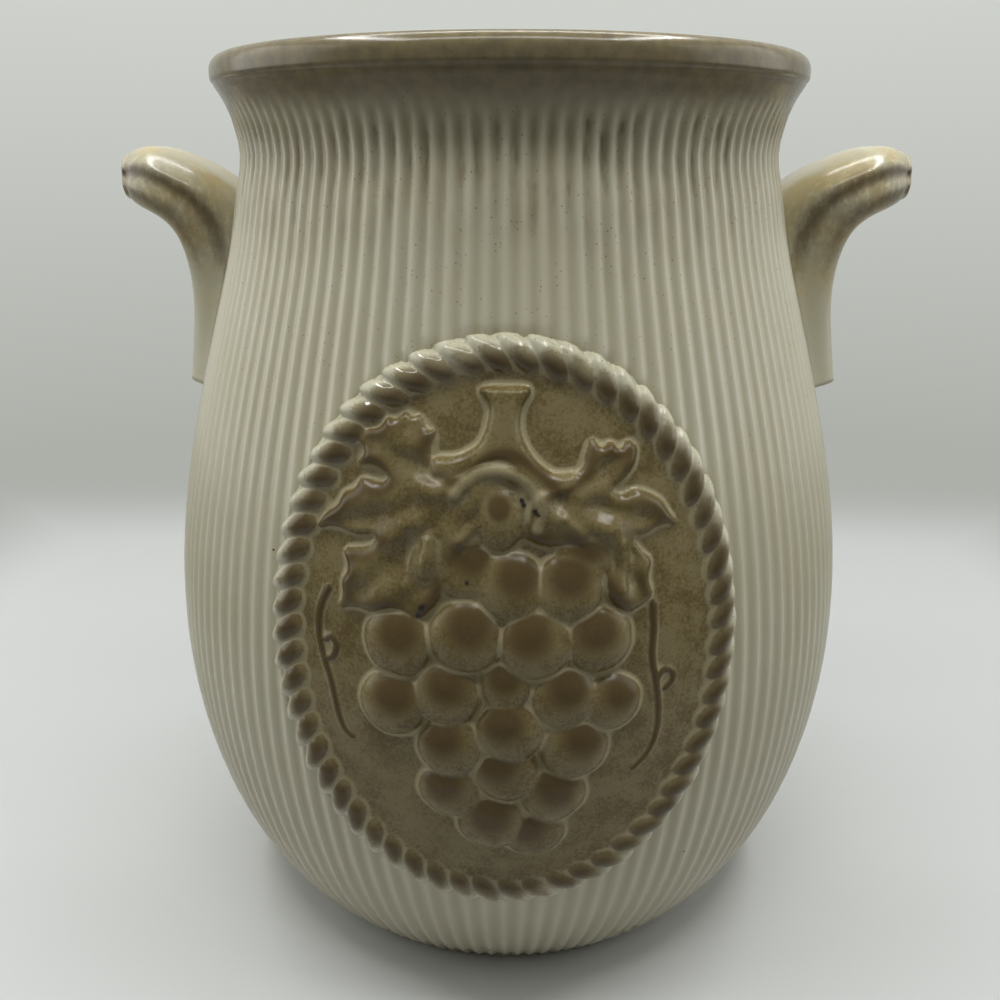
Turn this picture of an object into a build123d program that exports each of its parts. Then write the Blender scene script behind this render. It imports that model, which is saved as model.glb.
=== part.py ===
"""Ribbed stoneware fruit crock with two lug handles and a moulded oval of grapes on its front.

The axis is +Z, the foot stands on z = 0 and the oval faces -Y. Lengths are millimetres.
"""
from build123d import *
from math import atan2, cos, degrees, radians, sin, sqrt
import os

os.makedirs("parts", exist_ok=True)

# Body of the pot
height = 290.0
foot_radius = 80.0
belly_radius = 118.4
belly_height = 110.0
neck_radius = 87.6
neck_drop = 28.0
flare_radius = 88.9
flare_drop = 20.0
lip_radius = 95.0
lip_height = 8.5
lip_shoulder = 4.5
flare_growth = 1.5
under_lip_width = 5.0
mouth_radius = 81.0
mouth_chamfer = 1.5
wall_thickness = 6.5
floor_thickness = 8.0
inner_floor_radius = 68.0
foot_ring_width = 8.0
base_recess_depth = 1.5
rib_count = 120
rib_depth = 1.1
collar_step = 0.15
cut_overrun = 10.0

# Shares of the rise from foot to belly, and of the widening over it
lower_height_shares = (0.0, 0.08, 0.2, 0.4, 0.68, 1.0)
lower_radius_shares = (0.0, 0.213, 0.46, 0.729, 0.934, 1.0)
# Shares of the rise from belly to neck, and of the width left there
upper_height_shares = (0.27, 0.5, 0.74, 1.0)
upper_radius_shares = (0.868, 0.606, 0.269, 0.0)
# Share of the shoulder's width and height at which its two flats meet
shoulder_share = 0.29

# The first of these places whose height the inside of the wall follows
inner_first_place = 2

# Handles
handle_reach = 133.5
handle_top_drop = 26.0
handle_height = 80.5
handle_width = 46.0
handle_crown_drop = 8.0
handle_belly_drop = 2.5
handle_angles = {"handle_left": 180.0, "handle_right": 0.0}
handle_rings = 15
handle_arc_steps = 4

# Handle from tail to tip: outer point, inner or crown point, and width.
# Outward shares run from the neck to the reach, rising shares over the handle's height.
handle_outer_shares = (
    (0.601, 0.05),
    (0.531, 0.28),
    (0.503, 0.466),
    (0.552, 0.627),
    (0.67, 0.739),
    (0.83, 0.78),
    (0.96, 0.815),
    (1.0, 0.85),
)
handle_crown_shares = (
    (-0.1, -0.01),
    (-0.1, 0.25),
    (-0.1, 0.53),
    (-0.08, 0.83),
    (0.33, 0.965),
    (0.72, 1.0),
    (0.93, 0.975),
    (1.0, 0.93),
)
handle_width_shares = (0.7, 0.74, 0.82, 0.93, 1.0, 0.95, 0.72, 0.32)

# Oval panel and its rope
panel_width = 132.0
panel_height = 167.0
panel_centre_height = 134.5
panel_thickness = 3.0
rope_width = 9.6
rope_rise = 3.2
rope_bed_rise = 0.8
strand_count = 58
strand_length = 14.0
strand_slant = 32.0
strand_end_share = 0.42
strand_thickness_share = 0.68
strand_sides = 6
strand_sink = 0.4

# Moulded fruit
grape_radius = 9.6
grape_rise = 5.0
grape_sides = 8
grape_ring_angles = (20.0, 46.0, 74.0)
leaf_rise = 2.6
stem_rise = 3.6
tendril_rise = 1.3
tendril_width = 1.8

# Places on the front, as shares of the half width and half height inside the rope
grape_place_shares = (
    (0.0, 0.27),
    (0.29, 0.26),
    (0.52, 0.3),
    (-0.37, 0.24),
    (-0.5, 0.05),
    (-0.19, 0.07),
    (0.12, 0.065),
    (0.42, 0.06),
    (-0.53, -0.155),
    (-0.27, -0.125),
    (0.0, -0.115),
    (0.27, -0.135),
    (0.5, -0.15),
    (-0.26, -0.33),
    (0.02, -0.3),
    (0.3, -0.34),
    (-0.26, -0.52),
    (0.0, -0.48),
    (0.23, -0.53),
    (-0.09, -0.66),
    (0.14, -0.71),
)
leaf_left_shares = (
    (-0.06, 0.62),
    (-0.3, 0.68),
    (-0.32, 0.8),
    (-0.42, 0.85),
    (-0.5, 0.81),
    (-0.58, 0.82),
    (-0.68, 0.75),
    (-0.64, 0.7),
    (-0.69, 0.65),
    (-0.56, 0.63),
    (-0.7, 0.6),
    (-0.79, 0.53),
    (-0.91, 0.42),
    (-0.78, 0.43),
    (-0.63, 0.41),
    (-0.77, 0.34),
    (-0.75, 0.26),
    (-0.8, 0.13),
    (-0.61, 0.16),
    (-0.4, 0.12),
    (-0.24, 0.28),
    (-0.13, 0.44),
)
leaf_right_shares = (
    (0.2, 0.6),
    (0.32, 0.65),
    (0.37, 0.7),
    (0.39, 0.78),
    (0.46, 0.74),
    (0.54, 0.76),
    (0.62, 0.73),
    (0.59, 0.65),
    (0.5, 0.6),
    (0.62, 0.58),
    (0.73, 0.55),
    (0.82, 0.44),
    (0.69, 0.44),
    (0.61, 0.41),
    (0.7, 0.32),
    (0.68, 0.24),
    (0.72, 0.15),
    (0.58, 0.14),
    (0.42, 0.2),
    (0.28, 0.4),
)
stem_shares = (
    (-0.08, 0.95),
    (0.09, 0.95),
    (0.1, 0.92),
    (0.05, 0.88),
    (0.045, 0.8),
    (0.1, 0.71),
    (0.21, 0.64),
    (0.33, 0.65),
    (0.31, 0.59),
    (0.18, 0.56),
    (0.06, 0.64),
    (-0.01, 0.69),
    (-0.12, 0.67),
    (-0.21, 0.63),
    (-0.33, 0.64),
    (-0.33, 0.7),
    (-0.2, 0.71),
    (-0.09, 0.75),
    (-0.05, 0.81),
    (-0.045, 0.88),
    (-0.09, 0.92),
)
tendril_left_shares = ((-0.86, 0.11), (-0.91, 0.03), (-0.88, -0.1), (-0.84, -0.25), (-0.76, -0.37))
tendril_right_shares = ((0.74, 0.1), (0.72, -0.02), (0.75, -0.18), (0.75, -0.34), (0.65, -0.47))
loop_left_shares = ((-0.89, -0.06), (-0.83, -0.06), (-0.79, -0.01), (-0.82, 0.03))
loop_right_shares = ((0.74, -0.1), (0.79, -0.08), (0.83, -0.12), (0.8, -0.17), (0.75, -0.17))

panel_half_width = panel_width / 2
panel_half_height = panel_height / 2
field_half_width = panel_half_width - rope_width
field_half_height = panel_half_height - rope_width
neck_height = height - neck_drop
rib_top_height = height - flare_drop


def wall_places():
    """Radius and height of each place where the wall's profile bends, foot to flare."""
    spread = belly_radius - foot_radius
    narrowing = belly_radius - neck_radius
    rise = neck_height - belly_height
    places = [
        (foot_radius + spread * wide, belly_height * high)
        for high, wide in zip(lower_height_shares, lower_radius_shares)
    ]
    places += [
        (neck_radius + narrowing * wide, belly_height + rise * high)
        for high, wide in zip(upper_height_shares, upper_radius_shares)
    ]
    return places + [(flare_radius, rib_top_height)]


def wall_run(z):
    """The straight run of the profile that spans a height, as its two ends."""
    places = wall_places()
    for low, high in zip(places, places[1:]):
        if z <= high[1]:
            return low, high
    return places[-2], places[-1]


def wall_slope(z):
    """Widening of the wall per unit of height, at a height."""
    (low_radius, low_z), (high_radius, high_z) = wall_run(z)
    return (high_radius - low_radius) / (high_z - low_z)


def wall_radius(z):
    """Radius of the wall's profile at a height."""
    (low_radius, low_z), _ = wall_run(z)
    return low_radius + wall_slope(z) * (z - low_z)


def turned(outline):
    """A solid of revolution about the pot's axis, from a closed outline."""
    return revolve(make_face(outline), Axis.Z)


def smooth_core(offset):
    """The body without its ribs, moved outwards by an offset, as a turned solid."""
    points = [(radius + offset, 0, z) for radius, z in wall_places()]
    ends = [(0, 0, rib_top_height), (0, 0, 0)]
    return turned(Polyline(*points, *ends, close=True))


def flat_sided(rings, quads=True):
    """A solid through closed rings of corners, its sides flat faces of four corners or of three."""
    polygons = [rings[0], rings[-1]]
    for low, high in zip(rings, rings[1:]):
        for i in range(len(low)):
            side = [low[i - 1], low[i], high[i], high[i - 1]]
            polygons += [side] if quads else [side[:3], [side[0], side[2], side[3]]]
    return Solid(Shell([Face(Wire.make_polygon(corners, close=True)) for corners in polygons]))


def ribbed_wall():
    """The wall with its ribs, which widen and deepen with it: crests and valleys in turn around each ring."""
    half_step = 180 / rib_count
    crest_share = 1 - collar_step / belly_radius
    valley_share = 1 - rib_depth / belly_radius
    rings = []
    for radius, z in wall_places():
        crest = Vector(radius * crest_share, 0, z)
        valley = Vector(radius * valley_share, 0, z)
        corners = [(crest, valley)[i % 2].rotate(Axis.Z, half_step * i) for i in range(2 * rib_count)]
        rings.append(corners)
    return flat_sided(rings)


def collar():
    """The plain flare and the rolled lip above the ribs, as a turned solid."""
    under_lip_height = height - lip_height
    lip_bead = lip_radius - flare_radius - under_lip_width
    outline = Polyline(
        (0, 0, rib_top_height),
        (flare_radius, 0, rib_top_height),
        (flare_radius + flare_growth, 0, (rib_top_height + under_lip_height) / 2),
        (flare_radius + under_lip_width, 0, under_lip_height),
        (lip_radius, 0, under_lip_height + lip_bead),
        (lip_radius, 0, height - lip_shoulder),
        (lip_radius - lip_shoulder * shoulder_share, 0, height - lip_shoulder * shoulder_share),
        (lip_radius - lip_shoulder, 0, height),
        (0, 0, height),
        close=True,
    )
    return turned(outline)


def chamber():
    """The hollow inside: floor, belly, and the plain bore of the mouth with its bevelled edge."""
    places = wall_places()[inner_first_place:-2]
    inner = [(radius - wall_thickness, 0, z) for radius, z in places]
    over = height + cut_overrun
    outline = Polyline(
        (0, 0, floor_thickness),
        (inner_floor_radius, 0, floor_thickness),
        *inner,
        (mouth_radius, 0, neck_height),
        (mouth_radius, 0, height - mouth_chamfer),
        (mouth_radius + mouth_chamfer, 0, height),
        (mouth_radius + mouth_chamfer, 0, over),
        (0, 0, over),
        close=True,
    )
    return turned(outline)


def oval_prism(half_width, half_height):
    """An upright oval at the panel's height, carried from the axis out through the front."""
    outline = Ellipse(half_width, half_height)
    return extrude(Plane.XZ * Pos(0, panel_centre_height) * outline, belly_radius + cut_overrun)


def pot_body(cuts):
    """Ribbed wall and collar in one, hollowed, with a shallow foot ring and the seats of what it carries."""
    recess_radius = foot_radius - foot_ring_width
    recess = extrude(Plane.XY * Circle(recess_radius), base_recess_depth)
    return (ribbed_wall() + collar()).cut(chamber(), recess, *cuts)


def front_frame(x, z):
    """A plane that touches the smooth wall on the front, at a frontal place x, z."""
    radius = wall_radius(z)
    y = -sqrt(radius**2 - x**2)
    outward = Vector(x / radius, y / radius, -wall_slope(z))
    across = Vector(-y / radius, x / radius, 0)
    return Plane(origin=Vector(x, y, z), x_dir=across, z_dir=outward)


def handle_line(shares):
    """A smooth line in the handle's middle plane through its places, tail to tip."""
    outward = handle_reach - neck_radius
    bottom = height - handle_top_drop - handle_height
    points = [(neck_radius + outward * out, 0, bottom + handle_height * up) for out, up in shares]
    return Spline(*points)


def handle_ring(outer, crown, width_share):
    """Corners of one section of the handle across its run: arched outer face, flat sides, arched crown."""
    along = (crown - outer).normalized()
    across = Vector(0, handle_width * width_share / 2, 0)
    low = outer + along * handle_belly_drop * width_share**2
    high = crown - along * handle_crown_drop * width_share**2
    steps = [i / handle_arc_steps for i in range(handle_arc_steps + 1)]
    outer_arc = ThreePointArc(low - across, outer, low + across)
    crown_arc = ThreePointArc(high + across, crown, high - across)
    return [outer_arc @ step for step in steps] + [crown_arc @ step for step in steps]


def handle(angle):
    """A horn that grows out of the shoulder and curls outwards, seated in the valleys of the ribs."""
    outer_line = handle_line(handle_outer_shares)
    crown_line = handle_line(handle_crown_shares)
    last = len(handle_width_shares) - 1
    width_line = Spline(*[(i / last, share) for i, share in enumerate(handle_width_shares)])
    rings = []
    for i in range(handle_rings):
        share = i / (handle_rings - 1)
        width_share = (width_line @ share).Y
        rings.append(handle_ring(outer_line @ share, crown_line @ share, width_share))
    return flat_sided(rings, quads=False).rotate(Axis.Z, angle) - smooth_core(-rib_depth)


def strand():
    """One lump of the rope about the origin: a six-sided spindle along X, sunk a little, rising along Z."""
    half_width = rope_width * strand_thickness_share / 2
    half_height = rope_rise + strand_sink
    rings = []
    for place, size in ((-0.5, strand_end_share), (0.0, 1.0), (0.5, strand_end_share)):
        turns = [radians(360 * i / strand_sides) for i in range(strand_sides)]
        corners = [(half_width * size * cos(turn), half_height * size * sin(turn)) for turn in turns]
        rings.append([Vector(strand_length * place, across, up - strand_sink) for across, up in corners])
    return flat_sided(rings)


def rope_bed(core):
    """The low band that carries the rope's lumps, half as wide as the rope."""
    edge = rope_width / 4
    outer = oval_prism(panel_half_width - edge, panel_half_height - edge)
    inner = oval_prism(field_half_width + edge, field_half_height + edge)
    return ((outer - inner) & smooth_core(rope_bed_rise)) - core


def rope_border(core):
    """Slanted lumps evenly spaced around the oval, fused with the band that they lie on."""
    half_width = panel_half_width - rope_width / 2
    half_height = panel_half_height - rope_width / 2
    centreline = Plane.XZ * Pos(0, panel_centre_height) * Ellipse(half_width, half_height).edge()
    lump = strand()
    strands = []
    for i in range(strand_count):
        place = centreline @ (i / strand_count)
        run = centreline % (i / strand_count)
        frame = front_frame(place.X, place.Z)
        local = frame.to_local_coords(place + run) - frame.to_local_coords(place)
        angle = atan2(local.Y, local.X)
        strands.append(frame.location * Rot(Z=degrees(angle) + strand_slant) * lump)
    return rope_bed(core) + (strands[0].fuse(*strands[1:]) - core)


def front_place(share):
    """Frontal x and height of a place given in shares of the field's half sizes."""
    return field_half_width * share[0], panel_centre_height + field_half_height * share[1]


def grape():
    """One grape about the origin, its round rising along Z above the wall at z = 0."""
    centre = grape_rise - grape_radius
    turns = [radians(360 * i / grape_sides) for i in range(grape_sides)]
    rings = []
    for angle in grape_ring_angles:
        ring_radius = grape_radius * sin(radians(angle))
        ring_height = centre + grape_radius * cos(radians(angle))
        rings.append([Vector(ring_radius * cos(turn), ring_radius * sin(turn), ring_height) for turn in turns])
    return flat_sided(rings)


def grape_cluster(core):
    """The hanging bunch: grapes that grow into one another and seat on the oval field."""
    berry = grape()
    berries = [front_frame(*front_place(share)).location * berry for share in grape_place_shares]
    return berries[0].fuse(*berries[1:]) - core


def raised_sprig(outline, rise, core):
    """A frontal outline raised off the smooth wall by a rise, with its back on the wall."""
    return (extrude(outline, belly_radius + cut_overrun) & smooth_core(rise)) - core


def leaf(shares):
    """Frontal outline of one lobed vine leaf."""
    points = [front_place(share) for share in shares]
    return Plane.XZ * make_face(Polyline(*points, close=True))


def tendril(shares, loop_shares):
    """Frontal outline of a thin drooping tendril with a small curl beside it."""
    points = [front_place(share) for share in shares]
    loop_points = [front_place(share) for share in loop_shares]
    strip = trace(Polyline(*points), tendril_width)
    return Plane.XZ * (strip + trace(Polyline(*loop_points), tendril_width))


core = smooth_core(0)
oval = oval_prism(panel_half_width, panel_half_height)
behind_panel = smooth_core(-panel_thickness)
handles = {name: handle(angle) for name, angle in handle_angles.items()}

parts = {
    "pot_body": pot_body([oval - behind_panel, *handles.values()]),
    "medallion_field": (oval & core) - behind_panel,
    "rope_border": rope_border(core),
    "grape_cluster": grape_cluster(core),
    **handles,
}
grapes = parts["grape_cluster"]
parts["vine_stem"] = raised_sprig(leaf(stem_shares), stem_rise, core) - grapes
parts["leaf_left"] = raised_sprig(leaf(leaf_left_shares), leaf_rise, core) - grapes - parts["vine_stem"]
parts["leaf_right"] = raised_sprig(leaf(leaf_right_shares), leaf_rise, core) - grapes - parts["vine_stem"]
tendrils = {
    "tendril_left": (tendril_left_shares, loop_left_shares),
    "tendril_right": (tendril_right_shares, loop_right_shares),
}
for name, shares in tendrils.items():
    parts[name] = raised_sprig(tendril(*shares), tendril_rise, core) - grapes

for name, shape in parts.items():
    export_step(shape, f"parts/{name}.step")
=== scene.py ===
"""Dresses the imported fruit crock: ribbed glazed wall, rolled lip, lug handles and the moulded oval.

Every length is in metres. The pot stands on z = 0, its axis is +Z and its oval faces -Y.
"""
from math import cos, pi, radians, sin

import bpy
import numpy as np
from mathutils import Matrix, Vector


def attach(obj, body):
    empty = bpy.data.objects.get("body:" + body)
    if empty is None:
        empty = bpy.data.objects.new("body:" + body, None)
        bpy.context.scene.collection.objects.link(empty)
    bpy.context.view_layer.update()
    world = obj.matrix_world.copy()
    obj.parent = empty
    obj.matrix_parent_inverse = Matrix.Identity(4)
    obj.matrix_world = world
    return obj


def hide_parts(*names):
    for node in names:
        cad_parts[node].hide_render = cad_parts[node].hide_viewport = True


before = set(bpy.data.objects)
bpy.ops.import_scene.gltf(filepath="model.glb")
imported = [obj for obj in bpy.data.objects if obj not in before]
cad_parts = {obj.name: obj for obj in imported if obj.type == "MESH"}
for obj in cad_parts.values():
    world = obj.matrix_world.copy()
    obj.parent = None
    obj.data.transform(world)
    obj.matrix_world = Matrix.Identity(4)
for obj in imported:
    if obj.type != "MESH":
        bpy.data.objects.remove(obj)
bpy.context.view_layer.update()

MM = 0.001
FAR_AWAY = 1.0

# Wall of the pot
HEIGHT = 290.0 * MM
FOOT_RADIUS = 80.0 * MM
BELLY_RADIUS = 118.4 * MM
BELLY_HEIGHT = 110.0 * MM
NECK_RADIUS = 87.6 * MM
NECK_HEIGHT = 262.0 * MM
FLARE_RADIUS = 88.9 * MM
FLARE_HEIGHT = 270.0 * MM
LIP_RADIUS = 95.0 * MM
LIP_BOTTOM = 281.5 * MM
MOUTH_RADIUS = 81.0 * MM
LIP_UNDERCUT = 1.0 * MM
LIP_BEAD = 2.0 * MM
LIP_BEAD_LIFT = 2.2 * MM
LIP_ROUND = 4.5 * MM
LIP_CREST = 3.0 * MM
MOUTH_ROUND = 2.0 * MM
FLARE_CURVE = 0.65
FLARE_POWER = 1.8
WALL = 6.5 * MM
FLOOR = 8.0 * MM
INNER_FLOOR_RADIUS = 68.0 * MM
BORE_DEPTHS = (12.0 * MM, 20.0 * MM)
LINING_BOTTOM = 36.0 * MM
HEEL_RADIUS = 90.0 * MM
HEEL_HEIGHT = 20.0 * MM
LINING_EDGE = (MOUTH_RADIUS + 9.5 * MM, MOUTH_RADIUS + 5.0 * MM)
FOOT_RING = 8.0 * MM
FOOT_ROUND = 3.5 * MM
BASE_RECESS = 1.5 * MM
RECESS_SLOPE = 1.5 * MM
BASE_CENTRE_SHARE = 0.3
LOWER_HEIGHT_SHARES = (0.0, 0.036, 0.09, 0.18, 0.318, 0.5, 0.77, 1.0)
LOWER_RADIUS_SHARES = (0.0, 0.1, 0.237, 0.424, 0.635, 0.82, 0.969, 1.0)
UPPER_HEIGHT_SHARES = (0.296, 0.526, 0.71, 0.842, 0.934, 1.0)
UPPER_RADIUS_SHARES = (0.844, 0.571, 0.312, 0.143, 0.055, 0.0)

# Ribs
RIBS = 120
RIB_DEPTH = 0.85 * MM
RIB_TOP = 276.0 * MM
RIB_FADE = 9.0 * MM
LEAST_RIB_DEPTH = 0.001 * MM
VALLEY_POWER = 0.85
FINE_COLUMNS = 960
COARSE_COLUMNS = 160
WALL_ROWS = 78
PROFILE_STEPS = 1200
UNDER_PANEL_SHARES = (0.95, 0.98)

# Oval panel
PANEL_HALF_WIDTH = 66.0 * MM
PANEL_HALF_HEIGHT = 83.5 * MM
PANEL_CENTRE = 134.5 * MM
PANEL_DEPTH = 3.0 * MM
RELIEF_BACK = 2.2 * MM
RELIEF_PITCH = 0.4 * MM
RELIEF_SOFT_SHARE = 0.6
RELIEF_SOFT_CELLS = 1.5
HILL_CELLS = 6.0
HILL_SEED = 3
OVAL_OVERRUN = 0.02 * MM
PANEL_MEAN_RADIUS = (PANEL_HALF_WIDTH + PANEL_HALF_HEIGHT) / 2
PIECE_CREASE = 1.1 * MM

# Rope and the pooled glaze under it
ROPE_WIDTH = 9.6 * MM
ROPE_RISE = 3.5 * MM
ROPE_INNER_SHARE = 0.865
ROPE_STEPS = 2001
ROPE_SEED = 5
STRANDS = 58
STRAND_HALF_LENGTH = 7.4 * MM
STRAND_HALF_WIDTH = 3.5 * MM
STRAND_REACH = 12.0 * MM
STRAND_SLANT = 36.0
STRAND_SLANT_CHANGE = 9.0
STRAND_TAPER = 0.16
STRAND_LONG_POWER = 2.2
STRAND_ROUND_POWER = 0.55
STRAND_CREASE = 0.5 * MM
STRAND_SPREAD = {"slant": 3.0, "length": 0.05, "rise": 0.06, "stain": 0.15}
STRAND_STAIN_INWARDS = 0.25
STRAND_STAIN_HALF_SIZE = (0.78, 0.9)
STRAND_STAIN_EDGE = (1.05, 0.45)
BED_RISE = 0.9 * MM
BED_DIP = 1.6 * MM
BED_CREASE = 0.7 * MM
BED_FROM_SHARE = 0.8
BED_INNER_SHARES = (0.84, 0.9)
BED_OUTER_SHARES = (0.955, 1.0)
FIELD_HALF_WIDTH = PANEL_HALF_WIDTH - ROPE_WIDTH
FIELD_HALF_HEIGHT = PANEL_HALF_HEIGHT - ROPE_WIDTH

# Grapes
GRAPE_RADIUS = 9.5 * MM
GRAPE_RISE = 4.9 * MM
GRAPE_POWER = 2.6
GRAPE_UNEVEN = 0.022
GRAPE_LEAN = 0.45 * MM
GRAPE_SKIRT = 2.6 * MM
GRAPE_CREASE = 1.3 * MM
GRAPE_EDGE_RISE = 0.05 * MM
GRAPE_SEED = 11
GRAPE_STAIN_SIDE = 0.3
GRAPE_STAIN_UP = 0.42
GRAPE_STAIN_SIZE = 0.95
GRAPE_STAIN_EDGE = (1.1, 0.1)

# Leaves
LEAF_RISE = 2.5 * MM
LEAF_EDGE = 2.4 * MM
LEAF_SKIRT_SLOPE = 0.9
LEAF_UNEVEN = 0.42 * MM
VEIN_DEPTH = 0.7 * MM
VEIN_HALF_WIDTH = 1.9 * MM
VEIN_FADE = 0.5
VEIN_SWELL_OUT = 4.4 * MM
VEIN_SWELL_HALF_WIDTH = 2.6 * MM
FOLD_HALF_WIDTH = 1.5 * MM
FOLD_FROM_EDGE = 3.0 * MM

# Stalk, with the curl and the knot under its fork
STEM_RISE = 3.6 * MM
STEM_EDGE = 2.8 * MM
CURL_HALF_WIDTH = 2.8 * MM
CURL_BASE = 1.2 * MM
CURL_RISE = 3.4 * MM
CURL_NARROWING = 0.3
CURL_LOWERING = 0.45
CURL_ROUND_POWER = 0.6
CURL_CREASE = 1.0 * MM
KNOT_HALF_SIZE = (6.4 * MM, 8.6 * MM)
KNOT_BASE = 0.8 * MM
KNOT_RISE = 3.6 * MM
KNOT_POWER = 2.2
KNOT_ROUND_POWER = 0.6
KNOT_CREASE = 1.6 * MM
KNOT_HOLLOW = 0.9 * MM
KNOT_HOLLOW_RADIUS = 10.5 * MM

# Tendrils
TENDRIL_RISE = 1.2 * MM
TENDRIL_HALF_WIDTH = 0.9 * MM
TENDRIL_ROOT_SHARE = 1.15
TENDRIL_NARROWING = 0.45

# Where the glazes lie on the moulding: distances from an outline are negative inside it
LEAF_SPRAY_EDGE = (0.3 * MM, -0.6 * MM)
LEAF_RIM_OUTER = (-0.4 * MM, -1.2 * MM)
LEAF_RIM_INNER = (-5.5 * MM, -2.0 * MM)
LEAF_MIDDLE = (-0.8 * MM, -1.8 * MM)
LEAF_BROWN = 0.12
LEAF_RIM_BROWN = 0.7
LEAF_HILL_RANGE = (-1.2, 0.9)
TENDRIL_BROWN_EDGE = (0.25 * MM, -0.35 * MM)
# Half width of the painted shade under the stalk's fork
FORK_SHADE_HALF_WIDTH = 1.5 * MM
KNOT_STAIN_UP = 3.4 * MM
KNOT_STAIN_RADIUS = 3.6 * MM
KNOT_STAIN_WIDTH_SHARE = 0.8
CURL_PALE_HALF_WIDTH = 1.5 * MM
CURL_PALE = 0.6
CURL_BROWN_LOSS = 0.8
PALE_FOLD_RADIUS = 3.6 * MM
CREASE_CELLS = 2.6
CREASE_RANGE = (0.05, 0.34)
SPRAY_SHARES = (0.905, 0.965)
SPRAY_RAGGED = 0.01
SPRAY_CELLS = 8.0
SPRAY_SEED = 4
PIT_RADIUS = 0.75 * MM
PIT_HEIGHT_SHARE = 0.7
PIT_EDGE = (0.9, 0.3)
PIT_RAGGED = 0.5
PIT_CELLS = 1.2
PIT_SEED = 9

# Places on the front, as shares of the half width and half height inside the rope,
# with each grape's size and rise as shares of the full ones
GRAPES = (
    (-0.19, 0.33, 0.95, 0.55), (0.37, 0.36, 0.85, 0.6), (0.036, 0.262, 1.0, 0.8),
    (0.302, 0.257, 1.0, 0.9), (-0.496, 0.041, 1.02, 0.9), (-0.183, 0.081, 1.08, 1.0),
    (0.152, 0.056, 1.06, 1.05), (0.443, 0.061, 1.0, 0.95), (-0.523, -0.196, 1.0, 0.95),
    (-0.261, -0.142, 0.98, 0.9), (0.016, -0.101, 0.8, 0.75), (0.282, -0.149, 1.0, 1.0),
    (0.512, -0.183, 0.88, 0.85), (-0.25, -0.352, 1.0, 0.95), (0.037, -0.277, 1.02, 1.05),
    (0.334, -0.352, 1.02, 1.0), (-0.249, -0.541, 0.98, 0.9), (0.016, -0.453, 0.98, 0.95),
    (0.238, -0.555, 1.0, 0.9), (-0.058, -0.67, 1.06, 1.0), (0.152, -0.731, 0.94, 0.8),
)
LEAF_LEFT = (
    (0.1, 0.66), (-0.08, 0.7), (-0.2, 0.66), (-0.31, 0.68), (-0.33, 0.73), (-0.31, 0.8),
    (-0.35, 0.8), (-0.38, 0.85), (-0.42, 0.84), (-0.45, 0.86), (-0.5, 0.83), (-0.54, 0.84),
    (-0.58, 0.8), (-0.64, 0.79), (-0.69, 0.75), (-0.65, 0.71), (-0.69, 0.66), (-0.6, 0.66),
    (-0.54, 0.63), (-0.57, 0.61), (-0.67, 0.62), (-0.7, 0.58), (-0.76, 0.56), (-0.79, 0.51),
    (-0.85, 0.48), (-0.91, 0.41), (-0.8, 0.43), (-0.7, 0.41), (-0.6, 0.42), (-0.63, 0.38),
    (-0.77, 0.36), (-0.74, 0.29), (-0.78, 0.24), (-0.77, 0.19), (-0.8, 0.13), (-0.7, 0.15),
    (-0.61, 0.13), (-0.5, 0.16), (-0.4, 0.12), (-0.3, 0.19), (-0.25, 0.3), (-0.15, 0.4),
    (0.0, 0.41), (0.13, 0.44),
)
LEAF_RIGHT = (
    (0.12, 0.62), (0.22, 0.62), (0.32, 0.65), (0.36, 0.68), (0.37, 0.73), (0.4, 0.78), (0.44, 0.74),
    (0.49, 0.76), (0.53, 0.73), (0.57, 0.76), (0.62, 0.73), (0.61, 0.67), (0.57, 0.63), (0.5, 0.59),
    (0.54, 0.57), (0.61, 0.59), (0.68, 0.57), (0.74, 0.54), (0.78, 0.49), (0.83, 0.44),
    (0.74, 0.45), (0.66, 0.42), (0.6, 0.42), (0.64, 0.37), (0.7, 0.33), (0.68, 0.27), (0.71, 0.2),
    (0.66, 0.17), (0.58, 0.14), (0.5, 0.17), (0.46, 0.24), (0.45, 0.34), (0.32, 0.4), (0.18, 0.4),
    (0.08, 0.44),
)
STEM = (
    (-0.1, 0.955), (0.11, 0.955), (0.125, 0.93), (0.105, 0.905), (0.08, 0.87), (0.075, 0.81),
    (0.1, 0.755), (0.15, 0.7), (0.23, 0.655), (0.34, 0.66), (0.33, 0.585), (0.2, 0.555),
    (0.09, 0.62), (0.0, 0.69), (-0.1, 0.67), (-0.2, 0.62), (-0.34, 0.63), (-0.34, 0.71),
    (-0.21, 0.715), (-0.12, 0.755), (-0.085, 0.81), (-0.07, 0.87), (-0.09, 0.905), (-0.12, 0.93),
)
CURL = (
    (-0.22, 0.585), (-0.17, 0.63), (-0.11, 0.66), (-0.03, 0.67), (0.06, 0.65), (0.14, 0.605), (0.175, 0.54),
    (0.15, 0.47),
)
KNOT = (-0.02, 0.5)
PALE_FOLD = (0.12, 0.585)
# Line of painted shade in the crease under the stalk's fork
FORK_SHADE = ((-0.2, 0.6), (-0.12, 0.68), (-0.02, 0.73), (0.08, 0.71), (0.18, 0.65), (0.26, 0.57))
PITS = (
    (-0.376, 0.189), (-0.395, 0.15), (-0.025, 0.005), (0.3, 0.0), (0.085, 0.56), (0.15, 0.52),
    (-0.17, 0.28),
)
VEINS_LEFT = (
    ((-0.2, 0.6), (-0.4, 0.68), (-0.62, 0.74)),
    ((-0.2, 0.58), (-0.5, 0.5), (-0.86, 0.43)),
    ((-0.22, 0.55), (-0.45, 0.36), (-0.74, 0.16)),
)
VEINS_RIGHT = (
    ((0.25, 0.58), (0.4, 0.63), (0.56, 0.72)),
    ((0.25, 0.56), (0.5, 0.51), (0.78, 0.46)),
    ((0.25, 0.54), (0.45, 0.38), (0.66, 0.2)),
)
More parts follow.
